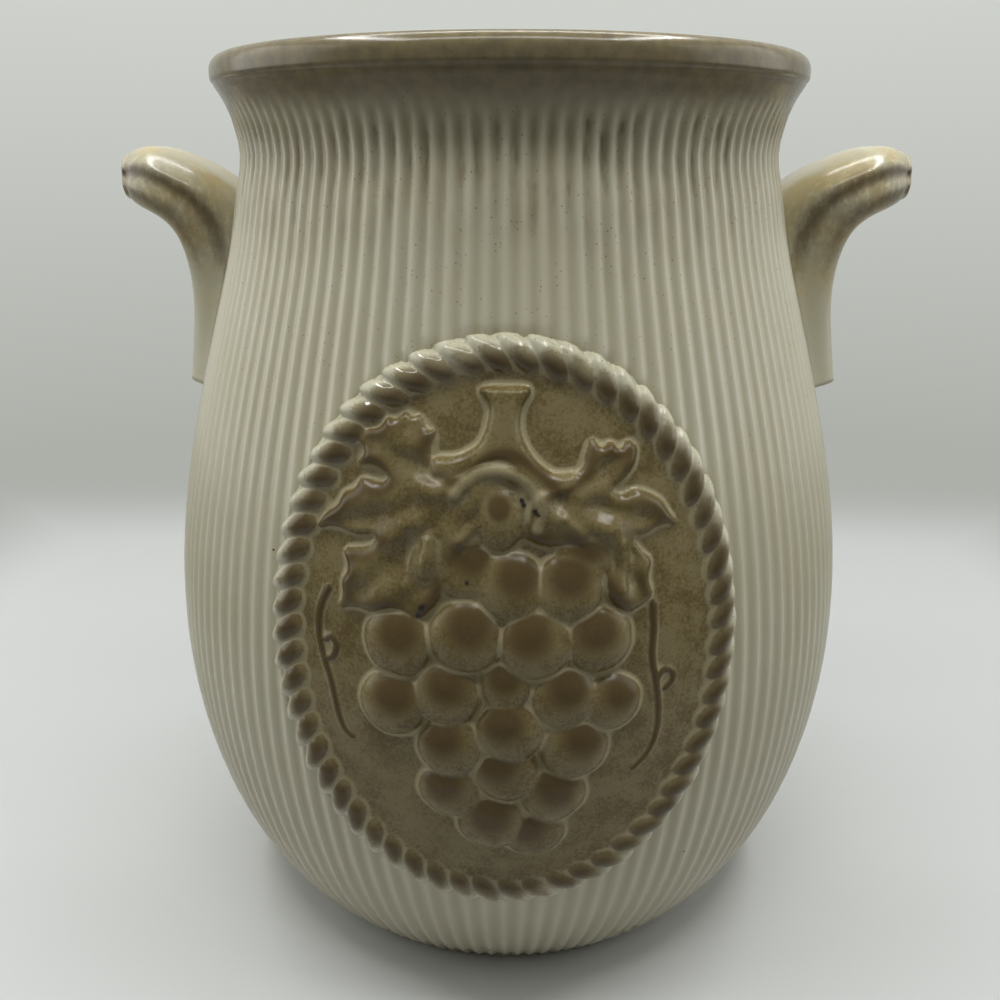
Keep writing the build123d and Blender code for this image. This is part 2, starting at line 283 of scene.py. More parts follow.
FOLDS = (
    (((-0.35, 0.42), (-0.36, 0.3)), 2.0 * MM),
    (((-0.43, 0.44), (-0.45, 0.28)), -1.1 * MM),
    (((-0.29, 0.42), (-0.28, 0.3)), -0.9 * MM),
    (((0.53, 0.4), (0.54, 0.24)), 1.2 * MM),
    (((0.6, 0.4), (0.6, 0.26)), -0.9 * MM),
    (((0.27, 0.5), (0.36, 0.44)), 1.0 * MM),
    (((-0.12, 0.48), (-0.2, 0.42)), 1.3 * MM),
)
TENDRIL_LEFT = (
    (-0.85, 0.2), (-0.9, 0.12), (-0.91, 0.03), (-0.89, -0.06), (-0.85, -0.16), (-0.83, -0.26),
    (-0.8, -0.35), (-0.75, -0.38),
)
TENDRIL_RIGHT = (
    (0.71, 0.17), (0.72, 0.07), (0.71, -0.03), (0.74, -0.13), (0.76, -0.24), (0.76, -0.34),
    (0.72, -0.43), (0.64, -0.49),
)
LOOP_LEFT = ((-0.88, -0.08), (-0.83, -0.06), (-0.81, -0.01), (-0.84, 0.02), (-0.87, 0.0))
LOOP_RIGHT = ((0.74, -0.13), (0.77, -0.09), (0.82, -0.1), (0.83, -0.14), (0.79, -0.17))

# Handles, as in the solids: shares from the neck to the reach, and over the handle's height
HANDLE_REACH = 133.5 * MM
HANDLE_TOP = 264.0 * MM
HANDLE_HEIGHT = 80.5 * MM
HANDLE_WIDTH = 46.0 * MM
HANDLE_OUTER = (
    (0.601, 0.05), (0.531, 0.28), (0.503, 0.466), (0.555, 0.63), (0.67, 0.715), (0.81, 0.752), (0.9, 0.775),
    (0.945, 0.79),
)
HANDLE_CROWN = (
    (-0.1, -0.01), (-0.1, 0.22), (-0.1, 0.48), (0.0, 0.78), (0.37, 0.94), (0.7, 1.0), (0.88, 0.992),
    (0.945, 0.975),
)
HANDLE_WIDTHS = (0.7, 0.74, 0.82, 0.93, 1.0, 0.88, 0.7, 0.56)
HANDLE_END = 2.4 * MM
HANDLE_END_POWER = 0.7
HANDLE_REACH_SHARES = (0.88, 0.965)
HANDLE_RINGS = 96
END_RINGS = 12
SECTION_COLUMNS = 160
SECTION_MIDDLE = 0.4
HANDLE_ROOT_DEPTH = 3.0 * MM
ROOT_SWELL = 0.09
ROOT_SWELL_REACH = 2.6 * MM
RIDGE_RISE = 0.9 * MM
RIDGES_FROM = (1.5, 3.4)
STAINS_FROM = (1.3, 3.0)

# Bell curves over a section of a handle: centre, half width and strength
HANDLE_RIDGES = ((0.72, 0.1, 1.0), (0.54, 0.08, -0.6), (0.36, 0.1, 0.45), (0.19, 0.07, -0.4))
HANDLE_STAINS = ((0.6, 0.15, 1.0), (0.22, 0.12, 0.7))

# Camera: from the pot's axis, turned about it by a small angle
CAMERA_TURN = 1.0
CAMERA_SHIFT = -2.95 * MM
CAMERA_DISTANCE = 355.0 * MM
CAMERA_HEIGHT = 261.1 * MM
CAMERA_DOWN = 18.99
LENS = 36.0
SENSOR = 36.0


def smoothstep(low, high, value):
    """0 at low and 1 at high, in either order, with the curve 3t^2 - 2t^3 between them."""
    share = np.clip((value - low) / (high - low), 0.0, 1.0)
    return share * share * (3.0 - 2.0 * share)


def natural_curve(places, values, at):
    """Cubic through the given values with no bend at its ends, read at new places."""
    x = np.asarray(places, float)
    y = np.asarray(values, float)
    gap = np.diff(x)
    slope = np.diff(y, axis=0) / gap.reshape((-1,) + (1,) * (y.ndim - 1))
    bends = np.zeros_like(y)
    if len(x) > 2:
        system = np.diag(2 * (gap[:-1] + gap[1:])) + np.diag(gap[1:-1], 1) + np.diag(gap[1:-1], -1)
        bends[1:-1] = np.linalg.solve(system, 6 * np.diff(slope, axis=0))
    at = np.asarray(at, float)
    i = np.clip(np.searchsorted(x, at) - 1, 0, len(x) - 2)
    shape = at.shape + (1,) * (y.ndim - 1)
    a = ((x[i + 1] - at) / gap[i]).reshape(shape)
    b = ((at - x[i]) / gap[i]).reshape(shape)
    g = (gap[i] ** 2 / 6).reshape(shape)
    return a * y[i] + b * y[i + 1] + g * ((a**3 - a) * bends[i] + (b**3 - b) * bends[i + 1])


def wall_stations():
    """Heights and radii that the smooth wall passes through, foot to flare."""
    low_z = BELLY_HEIGHT * np.array(LOWER_HEIGHT_SHARES)
    low_r = FOOT_RADIUS + (BELLY_RADIUS - FOOT_RADIUS) * np.array(LOWER_RADIUS_SHARES)
    high_z = BELLY_HEIGHT + (NECK_HEIGHT - BELLY_HEIGHT) * np.array(UPPER_HEIGHT_SHARES)
    high_r = NECK_RADIUS + (BELLY_RADIUS - NECK_RADIUS) * np.array(UPPER_RADIUS_SHARES)
    return np.concatenate([low_z, high_z, [FLARE_HEIGHT]]), np.concatenate([low_r, high_r, [FLARE_RADIUS]])


STATION_Z, STATION_R = wall_stations()


def wall_radius(z):
    """Radius of the smooth wall, over the crests of the ribs, at a height."""
    return natural_curve(STATION_Z, STATION_R, np.clip(z, 0.0, FLARE_HEIGHT))


def wall_slope(z):
    """Change of the wall's radius with height, by a short central difference."""
    return (wall_radius(z + 0.5 * MM) - wall_radius(z - 0.5 * MM)) / MM


def front_point(x, z):
    """Point of the smooth wall on the front at a frontal place, and its outward unit normal."""
    radius = wall_radius(z)
    y = -np.sqrt(radius**2 - x**2)
    normal = np.stack([x / radius, y / radius, -wall_slope(z)], -1)
    normal /= np.linalg.norm(normal, axis=-1, keepdims=True)
    return np.stack([x, y, z], -1), normal


def run_length(a, b):
    """Length along a line, from its first point to each of its points."""
    return np.concatenate([[0], np.cumsum(np.hypot(np.diff(a), np.diff(b)))])


def oval_share(x, z, half_width, half_height):
    """1 on an oval about the panel's centre, less inside it and more outside."""
    return np.hypot(x / half_width, (z - PANEL_CENTRE) / half_height)


def valley_share(angle):
    """0 on the crest of a rib and 1 at the bottom of the valley, as a raised cosine."""
    return (0.5 - 0.5 * np.cos(RIBS * angle)) ** VALLEY_POWER


def rib_fade(z):
    """1 where the ribs have their full depth, falling to 0 at their upper end."""
    return 1 - smoothstep(RIB_TOP - RIB_FADE, RIB_TOP, z)


def new_mesh(name, points, starts, corners):
    """A mesh object from an array of points and polygons given by loop starts and corners."""
    mesh = bpy.data.meshes.new(name)
    mesh.vertices.add(len(points))
    mesh.vertices.foreach_set("co", np.asarray(points, np.float32).ravel())
    mesh.loops.add(len(corners))
    mesh.loops.foreach_set("vertex_index", np.asarray(corners, np.int32))
    mesh.polygons.add(len(starts))
    mesh.polygons.foreach_set("loop_start", np.asarray(starts, np.int32))
    mesh.polygons.foreach_set("use_smooth", np.full(len(starts), True))
    mesh.update(calc_edges=True)
    mesh.validate()
    piece = bpy.data.objects.new(name, mesh)
    bpy.context.scene.collection.objects.link(piece)
    return piece


def add_value(piece, name, values):
    """Stores one number at each point of a piece for its material to read."""
    layer = piece.data.attributes.new(name, "FLOAT", "POINT")
    layer.data.foreach_set("value", np.asarray(values, np.float32))


def polygons(*groups):
    """Loop starts and corners of groups of polygons, each an array with one polygon a row."""
    corners = np.concatenate([g.ravel() for g in groups])
    sizes = np.concatenate([np.full(len(g), g.shape[1]) for g in groups])
    return np.concatenate([[0], np.cumsum(sizes)[:-1]]), corners


def ring_strip(start_a, count_a, start_b, count_b):
    """Polygons between two rings of points, the finer one having a whole multiple of the other's points."""
    few = min(count_a, count_b)
    step_a = count_a // few
    step_b = count_b // few
    base = np.arange(few)[:, None]
    lower = start_a + (base * step_a + np.arange(step_a + 1)) % count_a
    upper = start_b + (base * step_b + np.arange(step_b + 1)[::-1]) % count_b
    return np.hstack([lower, upper])


def turned(name, rows, poles):
    """A closed turned surface: rings of points joined by strips, with a fan at each end."""
    starts = np.cumsum([0] + [len(row) for row in rows])
    groups = [
        ring_strip(starts[i], len(rows[i]), starts[i + 1], len(rows[i + 1])) for i in range(len(rows) - 1)
    ]
    first, last = starts[-1], starts[-1] + 1
    ring = np.arange(len(rows[0]))
    groups.append(np.stack([np.full_like(ring, first), (ring + 1) % len(ring), ring], 1))
    ring = np.arange(len(rows[-1]))
    end = starts[-2]
    groups.append(np.stack([np.full_like(ring, last), end + ring, end + (ring + 1) % len(ring)], 1))
    return new_mesh(name, np.vstack([*rows, poles]), *polygons(*groups))


def profile_row(radius, z, columns, depth=0.0):
    """One ring at a height, pressed in between the ribs by a depth and under the oval panel."""
    angle = 2 * pi * np.arange(columns) / columns
    ring = np.full(columns, radius) - depth * valley_share(angle)
    x = ring * np.sin(angle)
    y = -ring * np.cos(angle)
    under = 1.0 - smoothstep(*UNDER_PANEL_SHARES, oval_share(x, z, PANEL_HALF_WIDTH, PANEL_HALF_HEIGHT))
    pressed = (ring - PANEL_DEPTH * under * (y < 0) * (depth > 0)) / ring
    return np.stack([x * pressed, y * pressed, np.full(columns, z)], 1)


def flare_radius(z):
    """Radius from the end of the wall to under the lip, widening with a power of the height."""
    share = np.clip((z - FLARE_HEIGHT) / (LIP_BOTTOM - FLARE_HEIGHT), 0.0, 1.0)
    widening = (1 - FLARE_CURVE) * share + FLARE_CURVE * share**FLARE_POWER
    return FLARE_RADIUS + (LIP_RADIUS - LIP_UNDERCUT - FLARE_RADIUS) * widening


def outer_profile():
    """Radii, heights and rib depths up the outside, evenly spaced along the wall."""
    z = np.linspace(0.0, RIB_TOP, PROFILE_STEPS)
    radius = np.where(z < FLARE_HEIGHT, wall_radius(z), flare_radius(z))
    length = run_length(radius, z)
    even = np.linspace(0, length[-1], WALL_ROWS)
    rows_z = np.interp(even, length, z)
    rows_r = np.interp(even, length, radius)
    return rows_r, rows_z, np.maximum(RIB_DEPTH * rib_fade(rows_z), LEAST_RIB_DEPTH)


def arc(centre_radius, centre_height, size, first, last, count):
    """Radii and heights on a round of the given size, from one angle to another in degrees."""
    turn = np.radians(np.linspace(first, last, count))
    return np.stack([centre_radius + size * np.cos(turn), centre_height + size * np.sin(turn)], 1)


def lip_profile():
    """Radii and heights over the rolled lip, from under its edge to the top of the mouth."""
    z = np.linspace(RIB_TOP, LIP_BOTTOM, 4)[1:]
    under = np.stack([flare_radius(z), z], 1)
    bead = arc(LIP_RADIUS - LIP_BEAD, LIP_BOTTOM + LIP_BEAD_LIFT, LIP_BEAD, -60, 0, 5)
    outer = arc(LIP_RADIUS - LIP_ROUND, HEIGHT - LIP_ROUND, LIP_ROUND, 0, 90, 10)
    inner = arc(MOUTH_RADIUS + MOUTH_ROUND, HEIGHT - MOUTH_ROUND, MOUTH_ROUND, 90, 180, 7)
    return np.vstack([under, bead, outer, inner])


def lining_profile():
    """Radii and heights down the inside, from the mouth's bore over the heel to the floor."""
    z = np.linspace(NECK_HEIGHT, LINING_BOTTOM, 44)
    wall = wall_radius(z) - WALL
    wall[0] = MOUTH_RADIUS
    bore = np.array([(MOUTH_RADIUS, HEIGHT - depth) for depth in BORE_DEPTHS])
    knots = np.array([(wall[-1], z[-1]), (HEEL_RADIUS, HEEL_HEIGHT), (INNER_FLOOR_RADIUS, FLOOR)])
    heel = natural_curve([0, 1, 2], knots, np.linspace(0, 2, 12)[1:])
    floor_radius = INNER_FLOOR_RADIUS * np.linspace(0.85, 0.1, 6)
    floor = np.stack([floor_radius, np.full_like(floor_radius, FLOOR)], 1)
    return np.vstack([bore, np.stack([wall, z], 1), heel, floor])


def build_body():
    """Ribbed wall, lip, lining and base in one closed turned surface."""
    recess = FOOT_RADIUS - FOOT_RING
    base = (
        (BASE_CENTRE_SHARE * recess, BASE_RECESS),
        (recess - RECESS_SLOPE, BASE_RECESS),
        (recess, 0.0),
        (FOOT_RADIUS - FOOT_ROUND, 0.0),
    )
    rows = [profile_row(radius, z, COARSE_COLUMNS) for radius, z in base]
    rows += [profile_row(radius, z, FINE_COLUMNS, depth) for radius, z, depth in zip(*outer_profile())]
    rows += [profile_row(radius, z, COARSE_COLUMNS) for radius, z in lip_profile()]
    lining_from = len(rows)
    rows += [profile_row(radius, z, COARSE_COLUMNS) for radius, z in lining_profile()]
    poles = np.array([(0, 0, BASE_RECESS), (0, 0, FLOOR)])
    body = turned("crock_body", rows, poles)
    counts = np.array([len(row) for row in rows])
    ring = np.concatenate([np.repeat(np.arange(len(rows)), counts), [0, len(rows)]])
    ribbed = np.concatenate([np.repeat(counts == FINE_COLUMNS, counts), [False, False]])
    x, y, z = np.vstack([*rows, poles]).T
    valley = valley_share(np.arctan2(x, -y)) * rib_fade(z)
    add_value(body, "valley", np.where(ribbed, valley, 0.0))
    on_lip = smoothstep(*LINING_EDGE, np.hypot(x, y)) * (z > HEIGHT - LIP_CREST)
    add_value(body, "lining", np.where(ring >= lining_from, 1.0, on_lip))
    add_value(body, "bare", np.where(ring < len(base), 1.0, 0.0))
    return body


def run_distance(x, z, start, end):
    """Distance to one straight run, and how far along it the nearest point is, as a share."""
    (ax, az), (bx, bz) = start, end
    dx, dz = bx - ax, bz - az
    share = np.clip(((x - ax) * dx + (z - az) * dz) / (dx * dx + dz * dz), 0, 1)
    return np.hypot(x - ax - share * dx, z - az - share * dz), share


def inside_outline(x, z, outline):
    """Signed distance to a closed outline, negative inside: nearest side, and a crossing count."""
    best = np.full(x.shape, FAR_AWAY)
    crossings = np.zeros(x.shape, bool)
    for start, end in zip(outline, outline[1:] + outline[:1]):
        best = np.minimum(best, run_distance(x, z, start, end)[0])
        (ax, az), (bx, bz) = start, end
        if az != bz:
            crossings ^= ((az > z) != (bz > z)) & (x < ax + (z - az) * (bx - ax) / (bz - az))
    return np.where(crossings, -best, best)


def line_distance(x, z, line):
    """Distance to an open line of straight runs, and how far along it the nearest point is, as a share."""
    best = np.full(x.shape, FAR_AWAY)
    along = np.zeros(x.shape)
    for i, (start, end) in enumerate(zip(line[:-1], line[1:])):
        distance, share = run_distance(x, z, start, end)
        along = np.where(distance < best, (i + share) / (len(line) - 1), along)
        best = np.minimum(best, distance)
    return best, along


def placed_point(share):
    """One frontal place in metres from its shares of the half width and half height inside the rope."""
    return FIELD_HALF_WIDTH * share[0], PANEL_CENTRE + FIELD_HALF_HEIGHT * share[1]


def placed(shares):
    """The frontal places of a whole outline or line."""
    return [placed_point(share) for share in shares]


def smoothed(points, closed, times=2):
    """Corner cutting: each run keeps its middle part, so corners become short curves."""
    p = np.asarray(points, float)
    for _ in range(times):
        if closed:
            q = np.roll(p, -1, axis=0)
            p = np.stack([0.8 * p + 0.2 * q, 0.2 * p + 0.8 * q], 1).reshape(-1, 2)
        else:
            q = np.stack([0.75 * p[:-1] + 0.25 * p[1:], 0.25 * p[:-1] + 0.75 * p[1:]], 1)
            p = np.vstack([p[:1], q.reshape(-1, 2), p[-1:]])
    return [tuple(v) for v in p]


def smooth_max(a, b, k):
    """The larger of two heights, rounded where they are within k of each other."""
    near = np.maximum(k - np.abs(a - b), 0.0) / k
    return np.maximum(a, b) + near * near * k * 0.25


def rope_height(x, z):
    """Slanted lumps along the oval, each a half ellipsoid turned from the rope's run, and the brown of each.

    The brown lies on the end of a lump that points inwards.
    """
    half_width = PANEL_HALF_WIDTH - ROPE_WIDTH / 2
    half_height = PANEL_HALF_HEIGHT - ROPE_WIDTH / 2
    theta = np.linspace(0, 2 * pi, ROPE_STEPS)
    length = run_length(half_width * np.cos(theta), half_height * np.sin(theta))
    centre_theta = np.interp(np.arange(STRANDS) / STRANDS * length[-1], length, theta)
    height = np.full(x.shape, -RELIEF_BACK)
    brown = np.zeros(x.shape)
    spread = STRAND_SPREAD
    jitter = np.random.default_rng(ROPE_SEED).uniform(-1, 1, (STRANDS, 4))
    for t, (turn, long, high, stain) in zip(centre_theta, jitter):
        cx, cz = half_width * cos(t), PANEL_CENTRE + half_height * sin(t)
        run_angle = np.arctan2(-half_height * cos(t), half_width * sin(t))
        slant = run_angle - radians(STRAND_SLANT - STRAND_SLANT_CHANGE * cos(t) + spread["slant"] * turn)
        near = (np.abs(x - cx) < STRAND_REACH) & (np.abs(z - cz) < STRAND_REACH)
        radius = wall_radius(np.array(cz))
        dx = (x[near] - cx) * radius / np.sqrt(radius**2 - cx**2)
        dz = z[near] - cz
        u = (dx * cos(slant) + dz * sin(slant)) / (STRAND_HALF_LENGTH * (1 + spread["length"] * long))
        v = (-dx * sin(slant) + dz * cos(slant)) / (STRAND_HALF_WIDTH * (1.0 + STRAND_TAPER * u))
        round_share = np.clip(1 - np.abs(u) ** STRAND_LONG_POWER - v**2, 0, 1)
        top = ROPE_RISE * (1 + spread["rise"] * high) * round_share**STRAND_ROUND_POWER
        lump = np.where(round_share > 0, top, -RELIEF_BACK)
        half_long, half_wide = STRAND_STAIN_HALF_SIZE
        from_stain = np.hypot((u - STRAND_STAIN_INWARDS) / half_long, v / half_wide)
        patch = smoothstep(*STRAND_STAIN_EDGE, from_stain) * (1 + spread["stain"] * (stain - 1))
        brown[near] = np.where(lump > height[near], patch, brown[near])
        height[near] = smooth_max(height[near], lump, STRAND_CREASE)
    return height, brown


def rope_bed(x, z):
    """The pooled glaze that the rope lies in: a low band that dips under the ribs at its outer edge."""
    share = oval_share(x, z, PANEL_HALF_WIDTH, PANEL_HALF_HEIGHT)
    outer = 1 - smoothstep(*BED_OUTER_SHARES, share)
    inner = smoothstep(*BED_INNER_SHARES, share)
    return -BED_DIP * (1 - outer) + BED_RISE * outer * inner


def grape_height(x, z, hills):
    """The bunch: flattened domes, each leaning over the one below, and the brown on their upper halves."""
    height = np.full(x.shape, -RELIEF_BACK)
    brown = np.zeros(x.shape)
    lean = np.random.default_rng(GRAPE_SEED).uniform(-GRAPE_STAIN_SIDE, GRAPE_STAIN_SIDE, len(GRAPES))
    for (px, pz, size, rise), side in zip(reversed(GRAPES), lean):
        cx, cz = placed_point((px, pz))
        radius = GRAPE_RADIUS * size
        across, up = (x - cx) / radius, (z - cz) / radius
        share = np.maximum(np.hypot(across, up) + GRAPE_UNEVEN * hills, 0.0)
        round_share = 1 - share**GRAPE_POWER
        dome = GRAPE_RISE * rise * np.sqrt(np.clip(round_share, 0, 1))
        dome = dome + GRAPE_SKIRT * np.minimum(round_share, 0)
        dome = np.maximum(dome - GRAPE_LEAN * up, -RELIEF_BACK)
        from_stain = np.hypot(across / GRAPE_STAIN_SIZE - side, up - GRAPE_STAIN_UP) / GRAPE_STAIN_SIZE
        patch = smoothstep(*GRAPE_STAIN_EDGE, from_stain)
        brown = np.where(dome > height, patch, brown)
        height = smooth_max(height, dome, GRAPE_CREASE)
    return height, brown


def soft_noise(shape, spread, seed):
    """Seeded random hills of unit height, with a width of about the given number of cells."""
    hills = blurred(np.random.default_rng(seed).standard_normal(shape), spread)
    return hills / hills.std()


def bell(distance, half_width, power=2):
    """1 at no distance, falling off as a bell curve; a higher power gives it a flatter top."""
    return np.exp(-((distance / half_width) ** power))


def rounded_edge(inside, width):
    """Share of the full rise over a quarter round of the given width, from an outline inwards."""
    return np.sqrt(np.clip(1 - (1 - np.clip(inside / width, 0, 1)) ** 2, 0, 1))


def leaf_height(x, z, outline, veins, hills):
    """A plateau with rounded edges, soft folds along its lobes and shallow grooves for its veins."""
    edge = inside_outline(x, z, outline)
    inside = np.clip(-edge, 0, None)
    plateau = LEAF_RISE * rounded_edge(inside, LEAF_EDGE)
    skirt = np.maximum(-LEAF_SKIRT_SLOPE * edge, -RELIEF_BACK)
    fold = LEAF_UNEVEN * hills
    for line in veins:
        distance, along = line_distance(x, z, placed(line))
        fold = fold + VEIN_DEPTH * bell(distance - VEIN_SWELL_OUT, VEIN_SWELL_HALF_WIDTH)
        fold = fold - VEIN_DEPTH * bell(distance, VEIN_HALF_WIDTH) * (1 - VEIN_FADE * along)
    cx, cz = placed_point(KNOT)
    fold = fold - KNOT_HOLLOW * bell(np.hypot(x - cx, z - cz), KNOT_HOLLOW_RADIUS, 4)
    for line, rise in FOLDS:
        distance, _ = line_distance(x, z, placed(line))
        fold = fold + rise * bell(distance, FOLD_HALF_WIDTH)
    return np.where(edge < 0, plateau + fold * smoothstep(0.0, FOLD_FROM_EDGE, inside), skirt), edge


def stem_height(x, z, outline):
    """A branching stalk with a round back, a curl below its fork and a round knot inside the curl."""
    edge = inside_outline(x, z, outline)
    inside = np.clip(-edge, 0, None)
    back = np.where(inside > 0, STEM_RISE * rounded_edge(inside, STEM_EDGE), -RELIEF_BACK)
    distance, along = line_distance(x, z, smoothed(placed(CURL), False))
    half = CURL_HALF_WIDTH * (1 - CURL_NARROWING * along)
    ridge = CURL_RISE * np.clip(1 - (distance / half) ** 2, 0, 1) ** CURL_ROUND_POWER
    ridge = ridge * (1 - CURL_LOWERING * along)
    curl = np.where(distance < half, CURL_BASE + ridge, -RELIEF_BACK)
    cx, cz = placed_point(KNOT)
    share = np.hypot((x - cx) / KNOT_HALF_SIZE[0], (z - cz) / KNOT_HALF_SIZE[1])
    dome = KNOT_BASE + KNOT_RISE * np.clip(1 - share**KNOT_POWER, 0, 1) ** KNOT_ROUND_POWER
    knot = np.where(share < 1, dome, -RELIEF_BACK)
    edge = np.minimum(edge, np.minimum(distance - half, (share - 1) * KNOT_HALF_SIZE[0]))
    return smooth_max(smooth_max(back, curl, CURL_CREASE), knot, KNOT_CREASE), edge


def tendril_height(x, z, line, loop):
    """A thin raised thread with one small loop, fading towards its tip."""
    distance, along = line_distance(x, z, smoothed(placed(line), False))
    loop_distance, _ = line_distance(x, z, smoothed(placed(loop), False))
    distance = np.minimum(distance, loop_distance)
    half = TENDRIL_HALF_WIDTH * (TENDRIL_ROOT_SHARE - TENDRIL_NARROWING * along)
    height = TENDRIL_RISE * np.sqrt(np.clip(1 - (distance / half) ** 2, 0, 1))
    return np.where(distance < half, height, -RELIEF_BACK), distance - half


def blurred(values, spread):
    """Gaussian blur of a grid by its Fourier transform, spread in cells."""
    margin = 24
    padded = np.pad(values, margin, mode="edge")
    fx = np.fft.fftfreq(padded.shape[0])[:, None]
    fz = np.fft.rfftfreq(padded.shape[1])[None, :]
    falling = np.exp(-2 * (pi * spread) ** 2 * (fx**2 + fz**2))
    soft = np.fft.irfft2(np.fft.rfft2(padded) * falling, padded.shape)
    return soft[margin:-margin, margin:-margin]


def snapped(x, z, distance_of):
    """Moves grid points that lie within half a cell of an outline onto it."""
    distance = distance_of(x, z)
    gx = np.gradient(distance, axis=0) / RELIEF_PITCH
    gz = np.gradient(distance, axis=1) / RELIEF_PITCH
    steep = np.maximum(gx**2 + gz**2, 0.25)
    near = np.abs(distance) < 0.45 * RELIEF_PITCH
    return x - near * distance * gx / steep, z - near * distance * gz / steep


def oval_edge(x, z):
    """Signed distance to the panel's oval, negative inside, by its mean radius."""
    return (oval_share(x, z, PANEL_HALF_WIDTH, PANEL_HALF_HEIGHT) - 1) * PANEL_MEAN_RADIUS


def rope_edge(x, z):
    """Signed distance to the rope's inner edge, negative on the rope."""
    share = oval_share(x, z, PANEL_HALF_WIDTH, PANEL_HALF_HEIGHT)
    return (ROPE_INNER_SHARE - share) * PANEL_MEAN_RADIUS


